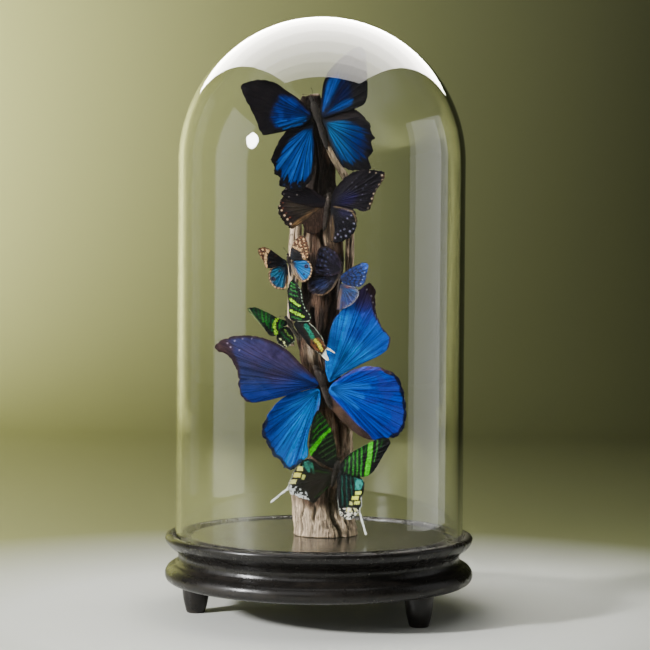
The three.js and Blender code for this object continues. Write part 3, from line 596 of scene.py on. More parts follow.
# ------------------------------------------------------------------ driftwood
TRUNK = np.array([
    [52.0, -17.4, 25.6, -19.2, 17.6], [57.0, -16.8, 25.0, -19.0, 16.8], [64.0, -17.6, 22.8, -18.6, 16.0],
    [72.5, -18.6, 20.6, -18.0, 15.4], [82.0, -18.2, 18.4, -17.6, 14.6], [95.0, -12.4, 21.0, -17.2, 14.0],
    [108.5, -3.0, 22.6, -16.6, 13.0], [125.0, -3.8, 21.6, -15.6, 12.0], [141.0, -5.0, 18.0, -14.6, 11.4],
    [154.5, -8.4, 14.0, -14.0, 11.0], [168.0, -13.2, 11.0, -13.4, 10.8], [182.0, -16.2, 9.8, -13.0, 10.4],
    [194.5, -15.6, 11.4, -12.4, 9.6], [208.0, -14.2, 12.8, -12.2, 9.6], [221.0, -13.2, 14.0, -12.6, 10.0],
    [234.5, -12.4, 14.6, -13.0, 10.2], [248.0, -12.6, 13.6, -13.4, 10.0], [264.0, -11.0, 11.8, -14.2, 9.6],
    [281.0, -11.0, 9.6, -13.4, 8.8], [298.0, -9.6, 8.4, -12.2, 8.0], [314.5, -11.0, 5.6, -11.6, 7.2],
    [331.0, -14.4, 2.6, -11.0, 6.6], [340.0, -15.4, 0.6, -9.0, 5.8], [344.2, -15.0, 0.2, -8.0, 5.0]])
LEFT_LIMB = np.array([
    [177.0, -18.6, -7.4, 1.0, 1.2], [184.0, -20.0, -7.8, 1.8, 2.2], [194.0, -20.2, -8.2, 2.4, 3.0], [206.0, -19.4, -8.4, 2.8, 3.4],
    [220.0, -18.4, -8.4, 3.5, 3.9], [232.0, -17.8, -8.2, 4.2, 4.3], [246.0, -17.4, -7.8, 4.2, 4.3], [256.0, -17.0, -7.0, 4.0, 4.0], [262.0, -16.6, -6.4, 2.8, 2.8]])
RIGHT_LIMB = np.array([
    [206.0, 16.4, -3.4, 2.0, 2.6], [222.0, 18.0, -3.6, 2.7, 3.4], [237.0, 19.0, -4.0, 3.2, 4.0],
    [256.0, 18.8, -4.2, 3.0, 4.0], [272.0, 18.0, -4.4, 2.9, 3.4], [286.0, 17.2, -5.2, 3.0, 3.2],
    [294.0, 12.6, -7.6, 3.0, 3.2], [302.0, 7.4, -9.6, 2.7, 3.0], [309.0, 4.0, -10.4, 2.0, 2.2]])


def wood_colour(P, recess_shade, light):
    """wood colour from a tone value: pale grey beige where it is high, brown to near black where it is low; the tone
    holds the wood's own colour and painted light and shade
    """
    n = fbm(P * np.array([0.16, 0.16, 0.03]), 31, 4); n2 = fbm(P * np.array([0.55, 0.55, 0.07]), 33, 3)
    pale = lin(176, 158, 136); grey = lin(138, 126, 112); brown = lin(74, 55, 43); dark = lin(26, 19, 16)
    t = np.clip(light + 0.38 * n, 0, 1)
    c = dark + (brown - dark) * sm(t, 0.05, 0.40)[:, None]
    c = c + (pale - c) * sm(t, 0.34, 0.86)[:, None]
    k = (sm(n2, 0.0, 0.5) * 0.55 * sm(t, 0.3, 0.7))[:, None]
    return c * (1 - k) + grey * k


def stem(name, rows, nth, nz, fissures=(), ragged=0.0, amp=1.0, light=None, seed=0, ribs=9):
    z0, z1 = rows[0, 0], rows[-1, 0]
    zz = np.linspace(z0, z1, nz)
    dz = np.array([np.interp(zz, rows[:, 0], rows[:, k]) for k in range(1, 5)])
    # smooth the piecewise sections
    ker = np.exp(-np.linspace(-2, 2, 15) ** 2); ker /= ker.sum()
    dz = np.array([np.convolve(np.pad(d, 7, mode="edge"), ker, "valid") for d in dz])
    if rows.shape[1] == 5 and name.endswith("trunk"):
        cx, cy, hx, hy = (dz[0] + dz[1]) / 2, (dz[2] + dz[3]) / 2, (dz[1] - dz[0]) / 2, (dz[3] - dz[2]) / 2
    else:
        cx, cy, hx, hy = dz
    th = np.arange(nth) / nth * 2 * np.pi
    TH, ZZ = np.meshgrid(th, zz)
    ring = np.minimum(hx, hy)[:, None] * np.ones_like(TH)
    tw = TH + 0.10 * np.sin(ZZ * 0.03 + seed)                      # slight spiral of the grain
    P = np.stack([np.cos(tw) * ring * 0.30, np.sin(tw) * ring * 0.30, ZZ * 0.022], -1).reshape(-1, 3)
    broad = fbm(P * 0.8, 41 + seed, 3).reshape(TH.shape)
    rib = 1 - np.abs(fbm(P * 1.7 + 7, 43 + seed, 3)).reshape(TH.shape) * 2.2   # long ridges and furrows
    fine = (1 - np.abs(vnoise(P * np.array([7, 7, 2.2]), 47 + seed)) * 2).reshape(TH.shape)
    fine2 = vnoise(P * np.array([16, 16, 5]), 48 + seed).reshape(TH.shape)
    furrow = -np.clip(0.25 - np.clip(rib, -1, 1), 0, 1)
    knot = vnoise(np.stack([np.cos(TH) * ring * 0.33, np.sin(TH) * ring * 0.33, ZZ * 0.11], -1).reshape(-1, 3), 49 + seed).reshape(TH.shape)
    disp = amp * (1.3 * broad + 1.9 * furrow + 0.6 * (fine - 0.4) + 0.26 * fine2 + 0.7 * knot) - 0.45 * amp
    # painted shade: this value is low in the furrows, and the material darkens the wood's colour there
    recess_shade = np.clip(1.0 + 1.6 * furrow + 0.5 * (fine - 0.6), 0, 1)
    for (t0, za, zb, w, d) in fissures:
        # deep drying cracks: [angle, from z, to z, half width mm, depth mm]
        f = sm(ZZ, za, za + 4) * (1 - sm(ZZ, zb - 6, zb))
        tc = t0 + 0.12 * np.sin(ZZ * 0.11 + t0 * 3) + 0.05 * np.sin(ZZ * 0.37)
        dd = np.abs((TH - tc + np.pi) % (2 * np.pi) - np.pi) * ring
        g = np.exp(-(dd / w) ** 2) * f
        # painted shade: each crack is cut in and its value lowered, so the material darkens it
        disp -= d * g; recess_shade *= 1 - 0.93 * g
    X = cx[:, None] + np.cos(TH) * np.maximum(0.4, hx[:, None] + disp)
    Y = cy[:, None] + np.sin(TH) * np.maximum(0.4, hy[:, None] + disp)
    Z = ZZ.copy()
    if ragged:
        top = sm(ZZ, z1 - 3 * ragged, z1)
        Z = Z + top * ragged * (vnoise(np.stack([np.cos(TH) * 2.2, np.sin(TH) * 2.2, TH * 0 + seed], -1).reshape(-1, 3), 51).reshape(TH.shape) * 0.9 - 0.45)
    V = np.stack([X, Y, Z], -1).reshape(-1, 3); n0 = len(V)
    Fc = []
    for i in range(nz - 1):
        a = i * nth
        for j in range(nth):
            k = (j + 1) % nth
            Fc.append((a + j, a + k, a + nth + k, a + nth + j))
    V = np.concatenate([V, [[cx[0], cy[0], z0]], [[cx[-1], cy[-1], z1 - ragged * 0.9]]])
    for j in range(nth):
        k = (j + 1) % nth
        Fc.append((n0, k, j)); Fc.append((n0 + 1, (nz - 1) * nth + j, (nz - 1) * nth + k))
    recess_shade = np.concatenate([recess_shade.ravel(), [0.7, 0.3]])
    # tone per vertex: the wood's own tone together with painted light and shade
    lt = np.full(len(V), 0.5) if light is None else light(V)
    ob = make_mesh(name, V, Fc, colors=wood_colour(V, recess_shade, lt), floats={"recess_shade": recess_shade})
    return give(ob, DRIFT)


def trunk_tone_and_shade(V):
    # painted light and shade mixed with the wood's own tone: the pale lower stump, the darker trunk above it and the
    # nearly black upper trunk between the wings stand partly for the shade the wings cast, partly for darker wood; the
    # pale patches, strands and cut top are paler wood
    x, z = V[:, 0], V[:, 2]
    l = 0.80 * (1 - sm(z, 86, 100)) + 0.34 * sm(z, 86, 100) * (1 - sm(z, 130, 146)) + 0.10 * sm(z, 130, 146) * (1 - 0.9 * sm(z, 270, 286))
    # painted shade: the top of the stump is darkened where the wings above shade it, partly darker wood there
    l = l - 0.30 * sm(z, 66, 84) * (1 - sm(z, 92, 100)) * sm(-np.abs(x + 1), -14, -6)
    l = l - 0.34 * sm(z, 66, 76) * (1 - sm(z, 90, 98)) + 0.16 * (1 - sm(z, 62, 70)) * sm(x, 10, 14)
    l = l + 0.30 * sm(z, 96, 104) * (1 - sm(z, 134, 142)) * sm(x, 12, 20)
    l = l + 0.62 * np.exp(-((z - 172) / 11) ** 2) * np.exp(-((x + 4 + 0.25 * (z - 172)) / 6) ** 2)
    l = l + 0.34 * sm(z, 232, 244) * (1 - sm(z, 258, 270)) + 0.20 * np.exp(-((z - 206) / 5) ** 2) * np.exp(-((x + 1) / 5) ** 2)
    l = l + 0.42 * np.exp(-((z - 306) / 7) ** 2) * np.exp(-((x - 2.5) / 3.5) ** 2) + 0.60 * sm(z, 342.2, 343.8)
    return l


trunk = stem("driftwood_stem_trunk", TRUNK, 180, 350, ragged=2.5, light=trunk_tone_and_shade, seed=1,
             fissures=[(-1.10, 50, 78, 1.4, 7.5), (-1.95, 60, 88, 0.8, 2.6), (-2.35, 50, 80, 0.7, 1.8), (-0.60, 54, 70, 0.7, 2.0), (-1.62, 74, 98, 0.8, 2.2),
                       (-1.15, 108, 146, 1.3, 4.0), (-0.62, 112, 150, 0.9, 3.0), (-1.75, 150, 205, 1.2, 4.2), (-0.9, 176, 232, 1.3, 4.0), (-2.4, 190, 250, 1.1, 3.4),
                       (-1.5, 226, 262, 1.2, 3.6), (-1.9, 270, 330, 1.1, 3.4), (-1.0, 286, 318, 0.8, 2.4), (1.2, 60, 160, 1.4, 4.2), (2.4, 90, 240, 1.2, 3.6), (0.4, 140, 300, 1.2, 3.6), (1.8, 200, 320, 1.0, 3.0)])
# painted light: the left limb, turned to the lamp on the left, is painted paler than the right limb; the left limb is
# darker towards its lower end, the right limb lighter at its upper end
left_limb = stem("driftwood_stem_left_limb", LEFT_LIMB, 64, 130, amp=0.35, ragged=1.0, light=lambda V: 0.86 - 0.3 * sm(-V[:, 2], -200, -180), seed=5, fissures=[(-1.5, 200, 255, 0.5, 1.2)])
right_limb = stem("driftwood_stem_right_limb", RIGHT_LIMB, 64, 150, amp=0.3, ragged=1.0, light=lambda V: 0.66 + 0.2 * sm(V[:, 2], 280, 290), seed=8, fissures=[(-1.3, 215, 290, 0.45, 1.0)])
for o, n in ((trunk, "driftwood_trunk"), (left_limb, "driftwood_left_limb"), (right_limb, "driftwood_right_limb")):
    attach(o, "root"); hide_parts(n)

# ------------------------------------------------------------------ insects
OFF = {"f": 0.55, "h": -0.45}
BODY_PROF = [(0, 0.0, 0), (0.02, 0.35, 0), (0.12, 0.8, 0), (0.35, 1.0, 0), (0.52, 0.85, 0), (0.60, 0.9, 1), (0.72, 1.0, 1), (0.84, 0.75, 1), (0.88, 0.45, 1), (0.94, 0.5, 1), (0.985, 0.3, 1), (1.0, 0.0, 1)]


def body_r(b, f):
    xs = [p[0] for p in BODY_PROF]; ys = [p[1] * (b["rt"] if p[2] else b["ra"]) for p in BODY_PROF]
    return np.where((f > 0) & (f < 1), np.interp(f, xs, ys), 0)


FR = {}
for name, d in INSECTS.items():
    n = unit(d["n"]); c = at_depth([d["c"]], d["depth"])[0]
    a0 = hit([d["axis"][0]], c, n)[0]; a1 = hit([d["axis"][1]], c, n)[0]
    a = unit(a1 - a0); a = unit(a - n * (a @ n))
    t = unit(np.cross(a, n)); t = -t if t[0] < 0 else t
    R = np.stack([t, a, n], 1)
    h = R.T @ (hit([d["body"]["h"]], c, n)[0] - c); tl = R.T @ (hit([d["body"]["t"]], c, n)[0] - c)
    FR[name] = dict(c=c, a=a, t=t, n=n, R=R, L0=tl[1], L1=h[1])

PAINT = {}


def wing_frame(name, key):
    fr, d = FR[name], INSECTS[name]
    side = 1 if key[1] == "R" else -1
    phi = math.radians(d["dih"][1 if side > 0 else 0])
    W = fr["R"] @ np.array([side * math.cos(phi), 0, math.sin(phi)]); M = fr["R"] @ np.array([-side * math.sin(phi), 0, math.cos(phi)])
    return side, W, M, fr["c"] + M * OFF[key[0]]


def hexgrid(poly, h):
    x0, y0 = poly.min(0) - h; x1, y1 = poly.max(0) + h
    ys = np.arange(y0, y1, h * 0.866); rows = []
    for i, y in enumerate(ys):
        xs = np.arange(x0 + (i % 2) * h / 2, x1, h)
        rows.append(np.stack([xs, np.full_like(xs, y)], 1))
    P = np.concatenate(rows)
    P = P + (RNG.random(P.shape) - 0.5) * h * 0.12
    P = P[inside(P, poly)]
    d, _ = dist_poly(P, np.concatenate([poly, poly[:1]]))
    return P[d > h * 0.55]


def wing(name, key, hinge, ends, h=0.6, camber=1.2, pleat=0.16, bend=0.0, mat=None, step=0.7, fringe=None, corners=(), scallop=0.0):
    """one wing as a thin closed skin. Everything is laid out in picture pixels on the wing's
    plane, then set on the plane: veins run from the hinge to `ends` on the outer margin."""
    fr, d = FR[name], INSECTS[name]
    side, W, M, p0 = wing_frame(name, key)
    outline = catmull(d[key], step, corners=corners)
    if fringe:                                   # small scallops and ragged scales on the outer margin
        i = np.arange(len(outline)); nrm = np.roll(outline, -1, 0) - np.roll(outline, 1, 0)
        nrm = np.stack([nrm[:, 1], -nrm[:, 0]], 1); nrm /= np.maximum(1e-9, np.linalg.norm(nrm, axis=1, keepdims=True))
        cen = outline.mean(0)
        if np.sum(((outline - cen) * nrm).sum(1)) < 0: nrm = -nrm
        far = sm(np.linalg.norm(outline - np.array(hinge), axis=1), *fringe[1:3])
        outline = outline + nrm * (fringe[0] * far * vnoise(np.stack([outline[:, 0] * 0.8, outline[:, 1] * 0.8, i * 0], 1), 61))[:, None]
    if scallop:                                  # the margin draws in between the veins
        far, fr_ = dist_poly(outline, catmull(np.array(ends, float), 1.0, closed=False))
        w_ = (1 - sm(far, 0.8, 2.5)) * scallop * (1 - np.abs(np.cos(np.pi * (len(ends) - 1) * fr_)) ** 0.8)
        v_ = np.array(hinge, float) - outline; v_ /= np.linalg.norm(v_, axis=1, keepdims=True)
        outline = outline + v_ * w_[:, None]
    inner = hexgrid(outline, h * 1.06)
    pts = np.concatenate([outline, inner])
    edges = [(i, (i + 1) % len(outline)) for i in range(len(outline))]
    res = delaunay_2d_cdt([Vector(p) for p in pts.tolist()], edges, [], 1, 1e-5)
    P = np.array([list(v) for v in res[0]]); T = [tuple(f) for f in res[2]]
    ed = {}
    for f in T:
        for i in range(3):
            e = (f[i], f[(i + 1) % 3]); ed[e] = ed.get(e, 0) + 1
    border = [e for e in ed if (e[1], e[0]) not in ed]
    # fields
    margin = np.concatenate([outline, outline[:1]])
    dm, _ = dist_poly(P, margin)
    H = np.array(hinge, float); dh = np.linalg.norm(P - H, axis=1)
    veins = []
    mid = np.mean(np.array(ends, float), 0) - H
    for k, e in enumerate(ends):
        e = np.array(e, float); v = e - H; L = np.linalg.norm(v)
        ctrl = H + 0.42 * v + 0.10 * L * (unit(mid) - unit(v))
        tt = np.linspace(0.03, 1, 16)[:, None]
        veins.append((1 - tt) ** 2 * H + 2 * tt * (1 - tt) * ctrl + tt ** 2 * e)
    DV = np.stack([dist_poly(P, v)[0] for v in veins])
    vi = DV.argmin(0); dv = DV.min(0); DP = np.concatenate([np.full((1, len(P)), 1e6), DV, np.full((1, len(P)), 1e6)])
    lo, up = DP[vi, np.arange(len(P))], DP[vi + 2, np.arange(len(P))]
    nb = np.minimum(lo, up); gap = dv + nb; vein_at = vi + np.where(lo < up, -1, 1) * dv / np.maximum(1e-6, gap)
    outer = np.array(ends, float)
    do, _ = dist_poly(P, catmull(outer, 2.0, closed=False))
    rho = dh / np.maximum(1e-6, dh + do)
    th = np.arctan2(P[:, 1] - H[1], P[:, 0] - H[0])
    S = dict(P=P, dm=dm, dv=dv, vi=vi, rho=rho, dh=dh, th=th, H=H, veins=veins, side=side)
    col, gleam = PAINT[name](key, S)
    # painted light and shade: each wing's colour is scaled by how the light falls on it
    col = col * WING_SHADE_GAIN.get((name, key), 1.0)
    # height over the plane, in mm
    size = np.max(dh)
    z = camber * (np.sin(np.clip(dh / size, 0, 1) * np.pi * 0.9) - 0.25) + bend * (dh / size) ** 2
    z = z + 0.10 * np.exp(-(dv * K / 0.30) ** 2) - pleat * np.clip(dv * K / 2.4, 0, 1) ** 1.3 * sm(dm, 0, 3)
    z = z + 0.25 * vnoise(np.stack([P[:, 0] * 0.07, P[:, 1] * 0.07, P[:, 0] * 0 + len(name) + len(key)], 1), 71)
    X = hit(P, p0, M); loc = X - p0
    b = loc @ W; s = loc @ fr["a"]
    f = (s - fr["L0"]) / (fr["L1"] - fr["L0"])
    b = np.maximum(b, np.maximum(0.25, body_r(d["body"], f) * 0.60))
    # keep the camber small next to the hinge line
    z = z * sm(b, 0.0, 6.0)
    half = 0.07
    top = p0 + b[:, None] * W + s[:, None] * fr["a"] + (z + half)[:, None] * M
    bot = p0 + b[:, None] * W + s[:, None] * fr["a"] + (z - half)[:, None] * M
    n = len(P); V = np.concatenate([top, bot])
    # orientation: top faces look along M
    A = np.array(T); nn = np.cross(top[A[:, 1]] - top[A[:, 0]], top[A[:, 2]] - top[A[:, 0]]).sum(0)
    if nn @ M < 0: T = [(f[0], f[2], f[1]) for f in T]; border = [(e[1], e[0]) for e in border]
    Fc = T + [(f[0] + n, f[2] + n, f[1] + n) for f in T] + [(e[1], e[0], e[0] + n, e[1] + n) for e in border]
    under = UNDER.get(name, lin(74, 60, 46))
    vd = np.exp(-(dv * K / 0.28) ** 2)[:, None]
    back = under * (1 - 0.45 * vd) * (1 + 0.25 * fbm(np.stack([P[:, 0] * 0.2, P[:, 1] * 0.2, P[:, 0] * 0], 1), 77)[:, None])
    ob = make_mesh(f"{name}_{'forewing' if key[0]=='f' else 'hindwing'}_{'right' if side>0 else 'left'}_scales", V, Fc,
                   colors=np.concatenate([col, back]), floats={"gleam": np.concatenate([gleam, gleam * 0]), "vein_at": np.tile(vein_at + 20.0, 2), "vein_gap": np.tile(np.clip(gap, 0, 30), 2), "run": np.tile(dh, 2)})
    give(ob, mat)
    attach(ob, "root"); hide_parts(f"{name}_{'forewing' if key[0]=='f' else 'hindwing'}_{'right' if side>0 else 'left'}")
    return ob


def on_outline(name, key, i0, i1, n):
    """n points spread evenly along the outline from corner i0 to corner i1"""
    o = INSECTS[name][key]; m = len(o)
    idx = []; i = i0
    while True:
        idx.append(i % m)
        if i % m == i1 % m: break
        i += 1
    pl = catmull([o[j] for j in idx], 1.0, closed=False)
    s = np.concatenate([[0], np.cumsum(np.linalg.norm(np.diff(pl, axis=0), axis=1))])
    return [tuple(np.array([np.interp(x, s, pl[:, 0]), np.interp(x, s, pl[:, 1])])) for x in np.linspace(0, s[-1], n)]


def mixc(c, k, t):
    t = np.clip(t, 0, 1)[:, None]
    return c * (1 - t) + np.asarray(k) * t


def soft(x, w, e):
    """1 inside width w, fading over e"""
    return 1 - sm(x, w, w + e)


def stroke(P, pts, w, e=0.5, taper=False):
    d, f = dist_poly(P, pts)
    ww = w * (1 - 0.75 * f) if taper else w
    return 1 - sm(d - ww, 0, e)


def warp(P, amp, f, seed):
    """shakes the drawing a little so that no edge is ruled"""
    return P + amp * np.stack([fbm(N3(P, f), seed, 2), fbm(N3(P, f, 9.0), seed + 5, 2)], 1)


def spot(P, c, rx, ry=None, rot=0.0, e=0.5):
    ry = rx if ry is None else ry
    q = P - np.array(c); ca, sa = math.cos(rot), math.sin(rot)
    x = (q[:, 0] * ca + q[:, 1] * sa) / rx; y = (-q[:, 0] * sa + q[:, 1] * ca) / ry
    r = np.sqrt(x * x + y * y)
    return 1 - sm((r - 1) * min(rx, ry), -e / 2, e / 2 + 0.15)


def streaks(S, freq, seed, lo=0.0, hi=1.0):
    """fine rays that run out from the hinge"""
    q = np.stack([S["th"] * freq, S["rho"] * 1.3, S["th"] * 0], 1)
    return sm(fbm(q, seed, 3), -0.5 + lo, 0.5 - (1 - hi))


def poly_in(P, poly, e=1.0):
    """soft mask of a polygon in picture pixels"""
    poly = np.asarray(poly, float)
    d, _ = dist_poly(P, np.concatenate([poly, poly[:1]]))
    s = np.where(inside(P, poly), d, -d)
    return sm(s, -e, e)

# painted light and shade: each wing's colour is scaled darker for how little light falls on it at the angle it is set
# to
WING_SHADE_GAIN = {("longwing", "fR"): 0.27, ("longwing", "hR"): 0.36, ("longwing", "fL"): 1.0, ("longwing", "hL"): 0.90, ("crow", "fR"): 0.38, ("crow", "fL"): 0.8, ("crow", "hR"): 0.38, ("crow", "hL"): 0.75,
        ("pansy", "fL"): 0.72, ("pansy", "fR"): 0.70, ("pansy", "hL"): 0.52, ("pansy", "hR"): 0.42, ("cracker", "fR"): 0.36, ("cracker", "hR"): 0.52, ("cracker", "hL"): 0.7,
        ("urania", "fL"): 0.9, ("urania", "fR"): 0.9, ("sunset", "fR"): 0.9}
UNDER = {"longwing": lin(60, 48, 40), "crow": lin(70, 55, 42), "pansy": lin(120, 95, 70), "cracker": lin(140, 120, 100), "sunset": lin(60, 110, 70), "morpho": lin(92, 70, 50), "urania": lin(60, 110, 70)}


def part_edge(name, key, i0, i1, P):
    """distance to one stretch of the outline, and how far along it the nearest point lies"""
    return dist_poly(P, on_outline(name, key, i0, i1, 40))


def N3(P, s, z=0.0): return np.stack([P[:, 0] * s, P[:, 1] * s, np.full(len(P), z)], 1)


def ray_noise(S, f, seed, f2=1.2):
    return fbm(np.stack([S["th"] * f, S["rho"] * f2, S["rho"] * 0 + seed], 1), seed, 3)


def vein_mask(S, w=0.55): return np.exp(-(S["dv"] / w) ** 2)


def spots_from(P, pts, r, e=0.4):
    m = np.zeros(len(P))
    for q in pts:
        rr = q[2] if len(q) > 2 else r
        m = np.maximum(m, spot(P, q[:2], rr, rr if len(q) < 4 else q[3], q[4] if len(q) > 4 else 0, e))
    return m


# -- 1: black wings with fans of bright blue
def paint_longwing(key, S):
    P, dm, rho = S["P"], S["dm"], S["rho"]
    black = lin(8, 6, 8); n = fbm(N3(P, 0.16), 101, 4); g = np.zeros(len(P))
    c = mixc(np.tile(black, (len(P), 1)), lin(17, 12, 14), sm(n, -0.2, 0.5) * 0.7)
    if key == "fL":
        deep = lin(3, 26, 92)
        m = poly_in(P, [(275, 108), (281, 97), (291, 99), (302, 108), (309, 115), (303, 121), (290, 125), (277, 127), (272, 118)], 4.0)
        m = m * (0.42 + 0.58 * sm(ray_noise(S, 16, 102), -0.25, 0.35))
        c = mixc(c, lin(4, 34, 112), m * 0.95); c = mixc(c, lin(8, 62, 158), m * sm(n, -0.1, 0.4) * 0.6); g = m
        for a, b, w in (((279, 126.5), (305, 120), 0.55), ((283, 129.6), (302, 124.2), 0.45), ((292, 121.5), (306, 117), 0.3), ((276, 123.4), (286, 121.2), 0.3)):
            k = stroke(P, [b, ((a[0] + b[0]) / 2, (a[1] + b[1]) / 2 - 0.8), a], w * 1.5, 1.2, True); c = mixc(c, lin(10, 96, 186), k * 0.7); g = np.maximum(g, k)
        c = mixc(c, lin(30, 22, 24), sm(-P[:, 0], -262, -246) * sm(n, -0.1, 0.5) * 0.35)
    if key == "fR":
        m = poly_in(P, [(322, 116), (323, 96), (328, 82), (338, 72), (348, 72), (352, 84), (351, 98), (343, 108), (330, 114)], 4.0)
        r = sm(ray_noise(S, 15, 103), -0.3, 0.3)
        c = mixc(c, lin(3, 28, 92), m * (0.35 + 0.5 * r)); g = m
        for poly, e, k2 in (([(321.5, 115), (322.8, 100), (326.5, 86), (331, 78), (337, 76), (341, 80), (336, 90), (329.5, 104)], 2.2, 1.0), ([(323.5, 116.5), (333, 107.5), (345, 100), (353, 99), (352, 104.5), (340, 111)], 1.6, 0.95)):
            k = poly_in(P, poly, e) * (0.30 + 0.70 * sm(ray_noise(S, 30, 107, 0.6), -0.35, 0.15)); c = mixc(c, lin(4, 96, 206), k * k2); g = np.maximum(g, k)
        c = mixc(c, lin(5, 5, 10), sm(P[:, 0], 345, 353) * sm(-P[:, 1], -100, -86) * 0.8)
        c = mixc(c, lin(36, 32, 42), sm(-P[:, 1], -70, -52) * sm(n, -0.2, 0.4) * 0.5)
    if key == "hL":
        Pj = P + (S["H"] - P) * (0.13 * ray_noise(S, 34, 174, 0.2) + 0.05 * ray_noise(S, 90, 175, 0.2))[:, None]
        m = poly_in(Pj, [(313, 128), (303, 131), (291, 140), (282, 153), (277.5, 165), (281, 173), (287, 178), (296, 181.5), (305, 181), (309.5, 173), (312, 158), (313.5, 142)], 1.4)
        m = m * (1 - 0.80 * np.exp(-(S["dv"] / 0.75) ** 2) * sm(S["dh"], 10, 26))
        r = ray_noise(S, 22, 104)
        c = mixc(c, lin(2, 76, 176), m); c = mixc(c, lin(8, 124, 218), m * sm(r, -0.1, 0.5) * 0.8); c = mixc(c, lin(3, 34, 100), m * sm(-r, 0.05, 0.6) * 0.7)
        c = mixc(c, lin(12, 40, 96), m * sm(rho, 0.70, 0.95) * 0.5); g = m
        k = spots_from(P, [(280, 180.5, 1.1), (284.5, 185, 1.0), (291, 187.5, 1.0), (299, 186.5, 0.9)], 1); c = mixc(c, lin(24, 60, 120), k * 0.35)
    if key == "hR":
        Pj = P + (S["H"] - P) * (0.16 * ray_noise(S, 30, 176, 0.2) + 0.05 * ray_noise(S, 80, 177, 0.2))[:, None]
        m = poly_in(Pj, [(323.5, 122), (333, 121), (346, 121.5), (358, 125.5), (366, 134), (367, 145), (361, 156), (352, 162), (344, 163), (338, 154), (331, 140)], 2.2)
        m = m * (1 - 0.75 * sm(P[:, 0], 346, 368) * sm(fbm(N3(P, 0.12), 178, 3), -0.3, 0.3))
        m = m * (1 - 0.60 * np.exp(-(S["dv"] / 0.8) ** 2) * sm(S["dh"], 10, 28))
        r = ray_noise(S, 22, 105); t = sm(P[:, 0], 328, 360)
        col = (1 - t)[:, None] * lin(6, 122, 196) + t[:, None] * lin(4, 44, 136)
        c = c * (1 - m[:, None]) + col * m[:, None]
        c = mixc(c, lin(20, 150, 220), m * sm(r, 0.0, 0.5) * (1 - 0.7 * t) * 0.7); c = mixc(c, lin(3, 20, 78), m * sm(-r, 0.0, 0.6) * 0.65)
        c = mixc(c, lin(14, 44, 112), m * sm(rho, 0.66, 0.92) * 0.6); g = m
        k = stroke(P, [(323, 119.5), (340, 116), (356, 112.5), (366, 117)], 3.0, 2.5); c = mixc(c, lin(34, 26, 24), k * 0.85); g = g * (1 - k)
    edge = sm(-dm, -2.6, -0.8); c = mixc(c, lin(12, 10, 11), edge * 0.85); g = g * (1 - edge)
    return c * (1 - 0.25 * vein_mask(S, 0.5))[:, None], g


